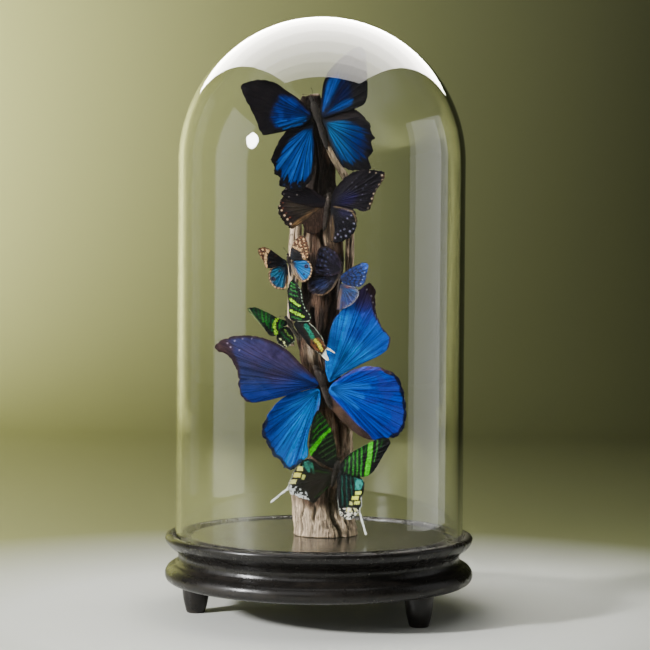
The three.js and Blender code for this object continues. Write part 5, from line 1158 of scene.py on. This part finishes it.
# -- 7: large day moth, black with green bars and white tails
def paint_urania(key, S):
    P, dm, rho = S["P"], S["dm"], S["rho"]
    n = fbm(N3(P, 0.25), 161, 4); g = np.zeros(len(P)); c = mixc(np.tile(lin(6, 6, 7), (len(P), 1)), lin(15, 12, 11), sm(n, 0, 0.5) * 0.6)
    lime, green = lin(62, 190, 20), lin(20, 92, 22)
    def bar(pts, w0, w1, col, k=0.95, e=0.7):
        nonlocal c, g
        thin = 0.40 if w0 < 0.9 else 0.86
        d, f = dist_poly(warp(P, 0.7, 0.8, 165), pts); m = (1 - sm(d - thin * (w0 + (w1 - w0) * f), 0, e)) * (0.45 + 0.55 * sm(fbm(N3(P, 1.2), 162, 2), -0.5, 0.0)); c = mixc(c, col, m * k); g = np.maximum(g, m)
    if key == "fL":
        bar([(331, 428.7), (321.5, 437.5), (314.0, 447.5), (309.9, 453.0)], 0.95, 2.7, lime)
        for a, b, w in (((325, 420), (313.4, 431.6), 0.6), ((328, 424), (312.6, 438.4), 0.65), ((323, 416.4), (314.4, 424.4), 0.5), ((320.6, 413.6), (315.6, 418.6), 0.4), ((329.8, 426.8), (311.4, 445.0), 0.45)):
            bar([a, ((a[0] + b[0]) / 2 - 0.6, (a[1] + b[1]) / 2 - 0.4), b], w, w, green if w < 0.6 else lin(40, 132, 26), 0.8)
        for a, b, w in (((334, 438), (320, 446.4), 0.55), ((335, 443), (319, 453.2), 0.6), ((335, 449), (322, 457.2), 0.6), ((335.6, 455.0), (326.0, 461.0), 0.55), ((333.4, 434.2), (322.0, 440.4), 0.4)):
            bar([a, b], w, w, lin(60, 104, 52), 0.75)
    elif key == "fR":
        bar([(370.6, 441.6), (369.8, 455.0), (366.6, 474.0)], 2.3, 2.5, lime)
        for x0, y0, x1, y1, w in ((345.4, 460.0, 344.6, 471.6, .55), (349.4, 456.4, 348.6, 473.2, .65), (353.4, 452.6, 352.8, 474.8, .75), (357.4, 450.0, 356.8, 475.2, .8), (361.6, 447.6, 360.8, 475.2, .85), (365.4, 445.4, 364.6, 452.0, .5)):
            bar([(x0, y0), ((x0 + x1) / 2 + 0.3, (y0 + y1) / 2), (x1, y1)], w, w, lin(44, 136, 40) if w > .6 else green, 0.88)
        bar([(377.4, 440.4), (376.6, 450.0), (374.0, 462.0)], 0.5, 0.5, lin(60, 140, 54), 0.8); bar([(382.4, 439.4), (381.0, 446.4)], 0.35, 0.3, green, 0.6)
    elif key == "hL":
        for a, b, w, col in (((329, 473), (312, 470), 0.6, green), ((331, 477), (311, 478.5), 0.6, lin(14, 50, 30)), ((331, 482), (312, 488), 0.5, lin(14, 50, 30)), ((328, 487), (315, 497), 0.55, green), ((305, 462.5), (308.6, 470.5), 1.3, lin(52, 136, 120)), ((311.5, 463.5), (313.5, 473.0), 0.9, lin(46, 120, 96))):
            bar([a, b], w, w, col, 0.85)
        ck = fbm(N3(warp(P, 0.8, 0.7, 167), 0.42), 168, 2)
        for q, kc in (([(297.5, 465.5), (303, 466.4), (302.6, 470.6), (297, 470.4)], (208, 204, 108)), ([(294.5, 472.2), (301.6, 472.6), (300, 477.2), (293, 477)], (214, 206, 96)), ([(291, 479.2), (297, 479.4), (295.2, 483.6), (289, 483.4)], (196, 194, 120)), ([(302.6, 474.4), (305.4, 475), (303.6, 479.6), (301.2, 479)], (170, 176, 96))):
            m = poly_in(warp(P, 0.5, 0.9, 167), q, 0.45); c = mixc(c, lin(*kc), m * 0.95); g = g * (1 - m)
        m = poly_in(P, [(304, 460), (310, 461), (312, 467), (306, 471), (302, 467)], 0.8) * sm(-ck, -0.15, 0.1); c = mixc(c, lin(28, 92, 84), m * 0.7)
        m = poly_in(P, [(288, 484), (296, 486), (306, 491.5), (309.5, 499.5), (302, 500), (291, 496)], 0.9) * sm(fbm(N3(P, 0.55), 163, 2), -0.05, 0.15); c = mixc(c, lin(188, 192, 192), m * 0.9); g = g * (1 - m)
        c = mixc(c, lin(24, 17, 13), poly_in(P, [(312, 468), (333, 474), (330, 486), (321, 495), (312, 500), (306, 486)], 3) * 0.7)
        m = np.maximum(np.exp(-((dm - 0.45) / 0.36) ** 2) * sm(-P[:, 0], -308, -301) * sm(P[:, 1], 466, 478) * (0.25 + 0.75 * sm(fbm(N3(P, 0.7), 182, 2), -0.2, 0.15)), sm(-P[:, 0], -289.5, -287)); c = mixc(c, lin(222, 226, 220), m * 0.92); g = g * (1 - m)
    else:
        for x0, y0, x1, y1, w in ((342.0, 475.5, 342.6, 505.0, .65), (346.2, 475.4, 347.4, 507.0, .7), (350.6, 476.2, 352.2, 500.0, .7), (354.6, 477.4, 355.8, 490.0, .6)):
            bar([(x0, y0), (x1, y1)], w, w * 0.8, lin(20, 84, 72), 0.7)
        ck = fbm(N3(warp(P, 0.8, 0.7, 169), 0.45), 170, 2)
        m = poly_in(warp(P, 0.8, 0.7, 169), [(356.5, 478.5), (361.4, 480), (363, 484), (359.6, 490), (354.6, 489)], 0.7) * (0.3 + 0.7 * sm(ck, -0.3, 0.1)); c = mixc(c, lin(44, 132, 124), m * 0.85)
        for q, kc in (([(355.4, 491.6), (361.6, 490.8), (361.2, 494.2), (355, 494.6)], (190, 206, 84)), ([(352.4, 496), (358.8, 495.8), (358, 499.6), (351.8, 499.4)], (206, 214, 76)), ([(354.6, 501), (360.2, 500.8), (359, 504.2), (353.8, 504)], (188, 194, 90)), ([(349.6, 501.4), (352.6, 501.6), (352.2, 505), (349.4, 504.6)], (176, 180, 110)), ([(346.6, 508), (351.6, 508.2), (351.2, 511.6), (346.4, 511.2)], (214, 206, 120))):
            m = poly_in(warp(P, 0.5, 0.9, 169), q, 0.45); c = mixc(c, lin(*kc), m * 0.95); g = g * (1 - m)
        m = poly_in(P, [(339.5, 508.5), (347, 507.5), (355, 508), (360, 511), (357, 515.5), (352, 519), (347, 519.8), (340, 515.5)], 0.8) * sm(fbm(N3(P, 0.6), 164, 2), -0.12, 0.08); c = mixc(c, lin(206, 204, 190), m * 0.92); g = g * (1 - m)
        m = poly_in(P, [(348, 507), (356, 506.5), (357, 511), (349, 512)], 0.8) * sm(-ck, 0.0, 0.15); c = mixc(c, lin(196, 196, 110), m * 0.8)
        m = np.maximum(sm(P[:, 1], 511.5, 514) * sm(P[:, 0], 356.5, 358.5), np.exp(-((dm - 0.45) / 0.38) ** 2) * sm(P[:, 1], 494, 500) * (0.25 + 0.75 * sm(P[:, 0], 356, 360)) * (0.4 + 0.6 * sm(fbm(N3(P, 0.7), 183, 2), -0.25, 0.15))); c = mixc(c, lin(224, 228, 220), m * 0.92); g = g * (1 - m)
    return c, g


for _n, _f in (("longwing", paint_longwing), ("crow", paint_crow), ("pansy", paint_pansy), ("cracker", paint_cracker), ("sunset", paint_sunset), ("morpho", paint_morpho), ("urania", paint_urania)):
    PAINT[_n] = _f

WM = {"longwing": mat_wing("longwing_wing", 0.46, 0.70, 0.30, 0.04, 0.75, 0.75), "crow": mat_wing("crow_wing", 0.55, 0.4, 0.30, 0.03, 0.6, 0.5),
      "pansy": mat_wing("pansy_wing", 0.55, 0.4, 0.25, 0.07, 0.5, 0.3), "cracker": mat_wing("cracker_wing", 0.55, 0.5, 0.25, 0.07, 0.55, 0.35),
      "sunset": mat_wing("sunset_wing", 0.46, 0.6, 0.22, 0.07, 0.3, 0.35), "morpho": mat_wing("morpho_wing", 0.40, 0.78, 0.22, 0.06, 0.75, 0.75),
      "urania": mat_wing("urania_wing", 0.46, 0.6, 0.22, 0.07, 0.3, 0.35)}

# wing, hinge, stretch of the outline that the veins reach, number of veins, grid, camber, bend
PLAN = [
    ("longwing", "fL", (313, 117), (10, 1), 11, 0.72, 1.4, -0.6), ("longwing", "fR", (321, 117), (4, 12), 11, 0.72, 1.2, 0.4),
    ("longwing", "hL", (313, 124), (2, 13), 10, 0.68, 1.2, 0.5), ("longwing", "hR", (322.5, 121), (3, 14), 10, 0.68, 1.2, 0.5),
    ("crow", "fL", (327, 203), (3, 7), 9, 0.55, 0.7, 0.0), ("crow", "fR", (331, 203), (4, 12), 10, 0.55, 1.0, 0.6),
    ("crow", "hL", (325, 206), (3, 9), 9, 0.55, 0.8, 0.5), ("crow", "hR", (331, 208), (2, 8), 9, 0.50, 0.9, 0.6),
    ("pansy", "fL", (287, 262), (6, 1), 8, 0.40, 0.5, 0.2), ("pansy", "fR", (291, 260), (2, 6), 8, 0.40, 0.5, 0.2),
    ("pansy", "hL", (287, 265), (2, 7), 8, 0.40, 0.5, 0.3), ("pansy", "hR", (291.5, 263), (2, 8), 8, 0.40, 0.5, 0.3),
    ("cracker", "fL", (341, 270), (7, 1), 8, 0.45, 0.6, 0.2), ("cracker", "hL", (340, 274), (2, 6), 8, 0.45, 0.6, 0.3),
    ("cracker", "fR", (341, 280), (4, 11), 8, 0.40, 0.4, 0.2), ("cracker", "hR", (341, 284.5), (1, 7), 8, 0.40, 0.4, 0.2),
    ("sunset", "fL", (287.5, 323), (8, 1), 9, 0.40, 0.5, 0.3), ("sunset", "fR", (291, 321), (6, 0), 9, 0.40, 0.5, 0.3),
    ("sunset", "hR", (294, 323), (2, 14), 9, 0.42, 0.5, 0.4), ("sunset", "hL", (289, 328), (2, 6), 7, 0.42, 0.4, 0.2),
    ("morpho", "fL", (319, 385), (11, 2), 12, 0.86, 1.6, -0.8), ("morpho", "hL", (319, 390), (3, 14), 11, 0.80, 1.4, 0.8),
    ("morpho", "fR", (329, 381.5), (7, 16), 12, 0.80, 1.4, 0.6), ("morpho", "hR", (330, 388), (3, 12), 11, 0.78, 1.3, 1.0),
    ("urania", "fL", (336, 464), (0, 5), 10, 0.50, 0.6, 0.3), ("urania", "fR", (340.5, 466), (4, 9), 10, 0.52, 0.7, 0.4),
    ("urania", "hL", (334, 473), (3, 15), 9, 0.50, 0.6, 0.5), ("urania", "hR", (339, 472), (3, 15), 9, 0.48, 0.6, 0.5)]
SHARP = {("sunset", "hR"): (8, 12), ("urania", "hL"): (8, 9), ("urania", "hR"): (8, 9)}
FRINGE = {"crow": (0.5, 12, 30), "longwing": (0.45, 25, 60), "morpho": (0.6, 40, 90), "urania": (0.35, 10, 30), "sunset": (0.3, 8, 20), "pansy": (0.3, 8, 18), "cracker": (0.25, 8, 20)}
SCALLOP = {("morpho", "fL"): 1.1, ("morpho", "hL"): 1.5, ("morpho", "fR"): 0.9, ("morpho", "hR"): 1.3, ("longwing", "hL"): 1.2, ("longwing", "hR"): 1.4, ("longwing", "fL"): 0.7,
           ("crow", "hL"): 1.0, ("crow", "hR"): 1.0, ("crow", "fR"): 0.8, ("pansy", "hL"): 0.5, ("pansy", "hR"): 0.5, ("urania", "hL"): 1.3, ("urania", "hR"): 1.1}
for nm, key, hinge, (i0, i1), nv, h, camb, bend in PLAN:
    wing(nm, key, hinge, on_outline(nm, key, i0, i1, nv), h, camb, 0.16, bend, WM[nm], 0.7 if h > 0.6 else 0.45, FRINGE[nm], SHARP.get((nm, key), ()), SCALLOP.get((nm, key), 0.0))

# ------------------------------------------------------------------ bodies
def insect_body(name, fur, belly, eye=(0.012, 0.008, 0.006), hair=1.0, ant=None, legs=True):
    """head, thorax and ringed abdomen as one fuzzy closed skin, with eyes, feelers, legs and hairs of their own"""
    fr, b = FR[name], INSECTS[name]["body"]; L0, L1 = fr["L0"], fr["L1"]; L = L1 - L0
    a, t, n, c = fr["a"], fr["t"], fr["n"], fr["c"]
    o = c - n * (0.35 * b["rt"])
    parts = []
    xs = [p[0] for p in BODY_PROF]; ys = [p[1] * (b["rt"] if p[2] else b["ra"]) for p in BODY_PROF]
    nr, ns = 92, 40
    f = 0.004 + 0.992 * (0.5 - 0.5 * np.cos(np.linspace(0, 1, nr) * np.pi)) * 0.35 + 0.992 * np.linspace(0, 1, nr) * 0.65
    f = np.clip(f, 0.004, 0.996)
    r = np.interp(f, xs, ys)
    r = np.convolve(np.pad(r, 2, mode="edge"), [0.1, 0.2, 0.4, 0.2, 0.1], "valid")
    ring = np.where(f < 0.54, 0.90 + 0.13 * np.abs(np.sin(f / 0.54 * 7.5 * np.pi)) ** 0.6, 1.0) * (0.965)
    th = np.arange(ns) / ns * 2 * np.pi
    TH, FF = np.meshgrid(th, f); RR = (r * ring)[:, None] * np.ones_like(TH)
    q = np.stack([np.cos(TH) * 1.6, np.sin(TH) * 1.6, FF * 9], -1).reshape(-1, 3)
    tuft = fbm(q * 2.1, 201 + len(name), 3).reshape(TH.shape) * np.where(FF > 0.5, 0.09, 0.035)
    RR = RR * (1 + tuft - 0.04)
    S_ = L0 + FF * L
    V = o + (np.cos(TH) * RR)[..., None] * t + S_[..., None] * a + (np.sin(TH) * RR)[..., None] * n
    flat = V.reshape(-1, 3); Fc = []
    right = np.linalg.det(np.stack([t, n, a])) > 0
    for i in range(nr - 1):
        for j in range(ns):
            k = (j + 1) % ns; A = (i * ns + j, i * ns + k, (i + 1) * ns + k, (i + 1) * ns + j)
            Fc.append(A if right else A[::-1])
    base = len(flat); flat = np.concatenate([flat, [o + a * L0, o + a * (L0 + L)]])
    for j in range(ns):
        k = (j + 1) % ns
        q1, q2 = (base, k, j), (base + 1, (nr - 1) * ns + j, (nr - 1) * ns + k)
        Fc.append(q1 if right else q1[::-1]); Fc.append(q2 if right else q2[::-1])
    shade = (0.75 + 0.5 * sm(fbm(q, 203, 3), -0.3, 0.4))
    under = sm(-np.sin(TH).ravel(), -0.2, 0.6)
    bands = np.where(FF.ravel() < 0.54, 0.72 + 0.28 * np.abs(np.sin(FF.ravel() / 0.54 * 7.5 * np.pi)) ** 0.5, 1.0)
    fur = np.asarray(fur) * 0.45; belly = np.asarray(belly) * 0.6
    col = (fur * (1 - under[:, None]) + belly * under[:, None]) * (shade * bands)[:, None]
    col = np.concatenate([col, [fur, fur]]); parts.append((flat, Fc, col))
    # eyes
    for s in (-1, 1):
        e = o + a * (L0 + 0.945 * L) + t * s * 0.36 * b["rt"] + n * 0.10 * b["rt"]
        parts.append(ball(e, 0.26 * b["rt"], eye, 10, 14))
    # hairs: slender closed spikes on the thorax, the head and along the abdomen
    rg = np.random.default_rng(300 + len(name) * 7 + int(L0 * -10) % 91)
    cnt = int(430 * hair)
    HV, HF, HC = [], [], []
    for i in range(cnt):
        ff = rg.choice([rg.uniform(0.55, 0.86), rg.uniform(0.86, 0.985), rg.uniform(0.06, 0.55)], p=[0.62, 0.16, 0.22])
        aa = rg.uniform(0, 2 * np.pi); rad = np.interp(ff, xs, ys) * 0.90
        d = unit(math.cos(aa) * t + math.sin(aa) * n + a * rg.uniform(-0.95, -0.15) + rg.normal(0, 0.18, 3))
        root = o + (math.cos(aa) * t + math.sin(aa) * n) * rad + a * (L0 + ff * L)
        ln = b["rt"] * rg.uniform(0.22, 0.48) * (0.6 if ff < 0.55 else 1.0); w = 0.045
        u = unit(np.cross(d, a + 0.01)); v = np.cross(d, u); k = len(HV)
        HV += [root + u * w, root - u * w * 0.5 + v * w * 0.87, root - u * w * 0.5 - v * w * 0.87, root + d * ln - a * ln * 0.15]
        HF += [(k, k + 1, k + 3), (k + 1, k + 2, k + 3), (k + 2, k, k + 3), (k, k + 2, k + 1)]
        HC += [np.asarray(fur) * rg.uniform(0.6, 1.7)] * 4
    parts.append((np.array(HV), HF, np.array(HC)))
    # feelers
    ant = ant or [((-0.9, 1.5), (-2.2, 4.2), (-3.2, 6.2)), ((0.9, 1.5), (2.2, 4.2), (3.2, 6.2))]
    for path in ant:
        pts = [o + a * (L0 + 0.97 * L) + n * 0.2 * b["rt"]] + [o + a * (L0 + 0.97 * L) + t * x + a * y + n * (0.2 * b["rt"] + 0.25 * y * 0.5) for x, y in path]
        cv = catmull(pts, 0.5, closed=False); m = len(cv); rr = np.full(m, 0.11); rr[-max(2, int(m * 0.16)):] = 0.24
        rr = np.convolve(np.pad(rr, 1, mode="edge"), [0.25, 0.5, 0.25], "valid")
        parts.append(tube(cv, rr, 6, (0.010, 0.008, 0.007)))
    # legs tucked under the thorax
    if legs:
        for s in (-1, 1):
            for k, (ff, sp) in enumerate(((0.64, 0.0), (0.72, 0.3), (0.80, 0.7))):
                r0 = o + a * (L0 + ff * L) - n * b["rt"] * 0.55 + t * s * b["rt"] * 0.35
                r1 = r0 - n * b["rt"] * 0.55 + t * s * b["rt"] * 0.75 + a * b["rt"] * (sp - 0.3)
                r2 = r1 - n * b["rt"] * 0.35 - t * s * b["rt"] * 0.25 + a * b["rt"] * (sp * 1.4 - 0.7)
                cv = catmull([r0, r1, r2], 0.5, closed=False); parts.append(tube(cv, np.linspace(0.16, 0.08, len(cv)), 6, (0.02, 0.014, 0.010)))
    V, Fc, C = join_parts(parts)
    ob = give(make_mesh(name + "_fuzzy_body", V, Fc, colors=C), FUR)
    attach(ob, "root"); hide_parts(name + "_body")
    return ob


def ball(c, r, color, nu=10, nv=16, squash=(1, 1, 1)):
    V, Fc = lathe([[math.sin(math.pi * i / nu) * r, -math.cos(math.pi * i / nu) * r] for i in range(nu + 1)], nv)
    return V * np.array(squash) + np.asarray(c), Fc, color


insect_body("longwing", lin(20, 17, 19), lin(36, 30, 28), ant=[((-1.2, 1.6), (-3.4, 2.6), (-5.0, 3.4)), ((1.0, 1.6), (2.0, 3.4), (1.6, 6.0))])
insect_body("crow", lin(40, 31, 27), lin(58, 46, 38), ant=[((-0.9, 1.4), (-3.2, 3.2), (-5.6, 4.0)), ((1.0, 1.5), (3.6, 3.4), (6.4, 4.4))])
insect_body("pansy", lin(46, 36, 34), lin(96, 80, 62), hair=0.5, ant=[((-0.6, 1.0), (-1.6, 2.6), (-2.4, 4.2)), ((0.6, 1.0), (1.5, 2.6), (2.2, 4.2))])
insect_body("cracker", lin(44, 36, 38), lin(96, 80, 66), hair=0.5, ant=[((-0.6, 1.0), (-1.2, 2.6), (-1.6, 4.4)), ((0.6, 1.0), (1.2, 2.6), (1.8, 4.4))])
insect_body("sunset", lin(36, 34, 24), lin(72, 60, 38), hair=0.6, ant=[((-0.6, 0.8), (-2.0, 1.6), (-3.4, 2.0)), ((0.6, 0.8), (1.6, 2.2), (2.4, 3.4))])
insect_body("morpho", lin(30, 22, 22), lin(60, 44, 38), ant=[((-1.2, 1.6), (-3.8, 3.4), (-6.4, 4.8)), ((1.2, 1.6), (2.8, 3.8), (4.0, 6.4))])
insect_body("urania", lin(22, 20, 18), lin(50, 40, 30), hair=0.8, ant=[((-0.9, 1.2), (-2.4, 2.4), (-4.2, 3.0)), ((0.9, 1.2), (2.2, 2.8), (3.6, 4.2))])
for nm in INSECTS:
    o = frame["nodes"][nm + "_pin"]
    if isinstance(o, str): o = bpy.data.objects[o]
    if isinstance(o, dict): o = o.get("object") or bpy.data.objects[o.get("name", nm + "_pin")]
    o.data.materials.clear(); o.data.materials.append(PIN.m)

# ------------------------------------------------------------------ floor, lights, world
# some lamps are there for the glass alone and the others leave it out, so that its mirrored shapes and the
# light on the insects can be set apart
FOR_GLASS = bpy.data.collections.new("lamps_for_glass"); FOR_GLASS.objects.link(dome)
NOT_GLASS = bpy.data.collections.new("lamps_past_glass"); NOT_GLASS.objects.link(dome); NOT_GLASS.collection_objects[0].light_linking.link_state = "EXCLUDE"


def softbox(name, centre, normal, up, w, h, power, color=(1, 1, 1), diffuse=True, glossy=True, shape="RECTANGLE", spread=180, through=False):
    li = bpy.data.lights.new(name, "AREA"); li.shape = shape; li.size = w; li.size_y = h; li.energy = power; li.color = color; li.spread = math.radians(spread)
    ob = bpy.data.objects.new(name, li); bpy.context.scene.collection.objects.link(ob)
    z = -unit(normal); x = unit(np.cross(up, z)); y = np.cross(z, x); m = Matrix.Identity(4)
    for i in range(3): m[i][0], m[i][1], m[i][2], m[i][3] = x[i], y[i], z[i], centre[i]
    ob.matrix_world = m
    ob.visible_diffuse = diffuse; ob.visible_glossy = glossy; ob.visible_transmission = through; ob.visible_camera = False
    ob.light_linking.receiver_collection = FOR_GLASS if name.endswith("_gloss") else NOT_GLASS
    return ob


fm = Mat("pale_floor")
n = fm.noise(3.0, 4, 0.5)
pale = fm.ramp(n, [(0.3, (0.70, 0.71, 0.66)), (0.7, (0.76, 0.77, 0.72))])
sep = fm.node("ShaderNodeSeparateXYZ"); fm.link(fm.coord(), sep.inputs[0])
far = fm.math("SQRT", fm.math("ADD", fm.math("MULTIPLY", sep.outputs["X"], sep.outputs["X"]), fm.math("MULTIPLY", sep.outputs["Y"], sep.outputs["Y"])))
far = fm.maprange(far, 0.20, 0.44, 0, 1)
# painted light: the sage backdrop is painted bright at the left and dark at the right, as the light falls off across
# it
side = fm.maprange(sep.outputs["X"], -0.75, 0.85, 0, 1)
sage = fm.ramp(side, [(0.0, (0.76, 0.77, 0.30)), (0.34, (0.42, 0.43, 0.18)), (0.62, (0.24, 0.254, 0.11)), (1.0, (0.07, 0.075, 0.032))])
low = fm.maprange(sep.outputs["Y"], 0.5, 2.0, 0.24, 0.0)
sage = fm.mix(low, sage, (0.02, 0.022, 0.008))
sage = fm.mix(fm.maprange(sep.outputs["Y"], -0.62, -0.26, 0.80, 0.0), sage, (0.03, 0.032, 0.014))
fm.set("Base Color", fm.mix(far, pale, sage)); fm.set("Roughness", 0.55); fm.set("Specular IOR Level", 0.3)
fv = []; ff = []
ys = [-2.6, 1.6]; bend = [(1.6 + 0.9 * math.sin(a), 0.9 - 0.9 * math.cos(a)) for a in np.linspace(0, math.pi / 2, 24)]
prof = [(-2.6, 0.0)] + bend + [(2.5, 3.4)]
for y, z in prof:
    fv += [(-3.6e3, y * 1e3, z * 1e3), (3.6e3, y * 1e3, z * 1e3)]
for i in range(len(prof) - 1): ff.append((2 * i, 2 * i + 1, 2 * i + 3, 2 * i + 2))
floor = give(make_mesh("studio_floor", fv, ff), fm)

w = bpy.data.worlds.new("studio"); bpy.context.scene.world = w; w.use_nodes = True
bg = w.node_tree.nodes["Background"]; bg.inputs["Color"].default_value = (0.80, 0.84, 0.74, 1); bg.inputs["Strength"].default_value = 0.05

rad = lambda L, wd, hh: L * math.pi * wd * hh        # radiance to watts for a rectangle
cc = np.array([0, 0, 0.2996])
fe = cc + np.array([0, -0.25, 0.97]) * 1.0; be = cc + np.array([0, 0.65, 0.32])
wd = 1.5
fe = cc + np.array([0, -0.46 * wd, 0.885 * wd]); be = cc + np.array([0, 0.65 * wd, 0.32 * wd])
mid = (fe + be) / 2; hh = np.linalg.norm(fe - be); upv = unit(fe - be); nrm = np.cross(np.array([1.0, 0, 0]), upv); nrm = nrm if nrm @ (cc - mid) > 0 else -nrm
# each softbox is two lamps: one that lights the surfaces, and one just in front of it that is only mirrored
be2 = cc + np.array([0, 0.22 * wd, 0.80 * wd]); mid2 = (fe + be2) / 2; hh2 = np.linalg.norm(fe - be2); up2 = unit(fe - be2); nrm2 = np.cross(np.array([1.0, 0, 0]), up2); nrm2 = nrm2 if nrm2 @ (cc - mid2) > 0 else -nrm2
softbox("overhead_softbox", mid2, nrm2, up2, wd, hh2, rad(1.15, wd, hh2))
bands = 8
for i in range(bands):                           # brighter towards the back, as such a box is near its tubes
    f = (i + 0.5) / bands; gw = wd * 0.87
    softbox("overhead_softbox_%d_gloss" % i, fe * (1 - f) + be * f + nrm * 0.03, nrm, upv, gw, hh / bands, rad(8.5 + 40.0 * f ** 1.7, gw, hh / bands), color=(1.0, 0.955, 0.87), diffuse=False)
def side_box(name, a0, a1, L, dist=1.35, h=1.5, z=0.42, **kw):
    # azimuths in degrees from the camera's direction, + to the right
    am = math.radians((a0 + a1) / 2); half = math.radians(abs(a1 - a0) / 2)
    d = np.array([math.sin(am), -math.cos(am), 0]); w_ = 2 * dist * math.tan(half)
    softbox(name, np.array([0, 0, z]) + d * dist, -d, np.array([0, 0, 1.0]), w_, h, rad(L, w_, h), **kw)
side_box("left_softbox", -94, -64, 1.9)
def strip(name, px0, px1, top, L, dist, bottom=0.004, back=False):
    """a tall lamp that the dome's wall, its front or its back, mirrors between two columns of the frame"""
    ends = []
    for px in (px0, px1):
        b = (px - 320.5) / (0.918 if back else 1.07) * 0.6667e-3; R = 0.0955; th = math.asin(b / R)
        n = np.array([math.sin(th), math.cos(th) if back else -math.cos(th)]); p = n * R; v = unit(p - np.array([0.0, -1.0867])); r = v - 2 * (v @ n) * n
        t = -(p @ r) + math.sqrt((p @ r) ** 2 - p @ p + dist ** 2); ends.append(p + r * t)
    c = (ends[0] + ends[1]) / 2; w_ = float(np.linalg.norm(ends[0] - ends[1])); d = unit(np.array([c[0], c[1], 0]))
    softbox(name, np.array([c[0], c[1], (top + bottom) / 2]), -d, np.array([0, 0, 1.0]), w_, top - bottom, rad(L, w_, top - bottom), diffuse=False, glossy=not back, through=back)
strip("left_softbox_gloss", 214.0, 244.0, 0.53, 1.6, 0.55, back=True)
side_box("right_softbox", 74, 112, 0.6)
strip("right_softbox_gloss", 408.0, 441.0, 0.52, 1.6, 0.55)
d = unit([-0.822, -0.521, 0.227]); p = cc + d * 1.5
softbox("small_lamp", p, -d, np.array([0, 0, 1.0]), 0.16, 0.16, 740 * math.pi * math.pi * 0.08 ** 2, shape="DISK")
d2 = unit([-0.792, -0.565, 0.190]); p2 = cc + d2 * 1.46
softbox("small_lamp_gloss", p2, -d2, np.array([0, 0, 1.0]), 0.25, 0.25, 190 * math.pi * math.pi * 0.125 ** 2, shape="DISK", diffuse=False)
softbox("wall_wash", np.array([-1.7, 1.1, 0.55]), unit(np.array([-1.32, 2.4, 0.5]) - np.array([-1.7, 1.1, 0.55])), np.array([0, 0, 1.0]), 0.6, 1.2, 14, glossy=False, spread=95)
softbox("front_fill", np.array([-0.5, -1.9, 1.3]), unit(np.array([0, 0, 0.3]) - np.array([-0.5, -1.9, 1.3])), np.array([0, 0, 1.0]), 1.2, 1.2, 7)

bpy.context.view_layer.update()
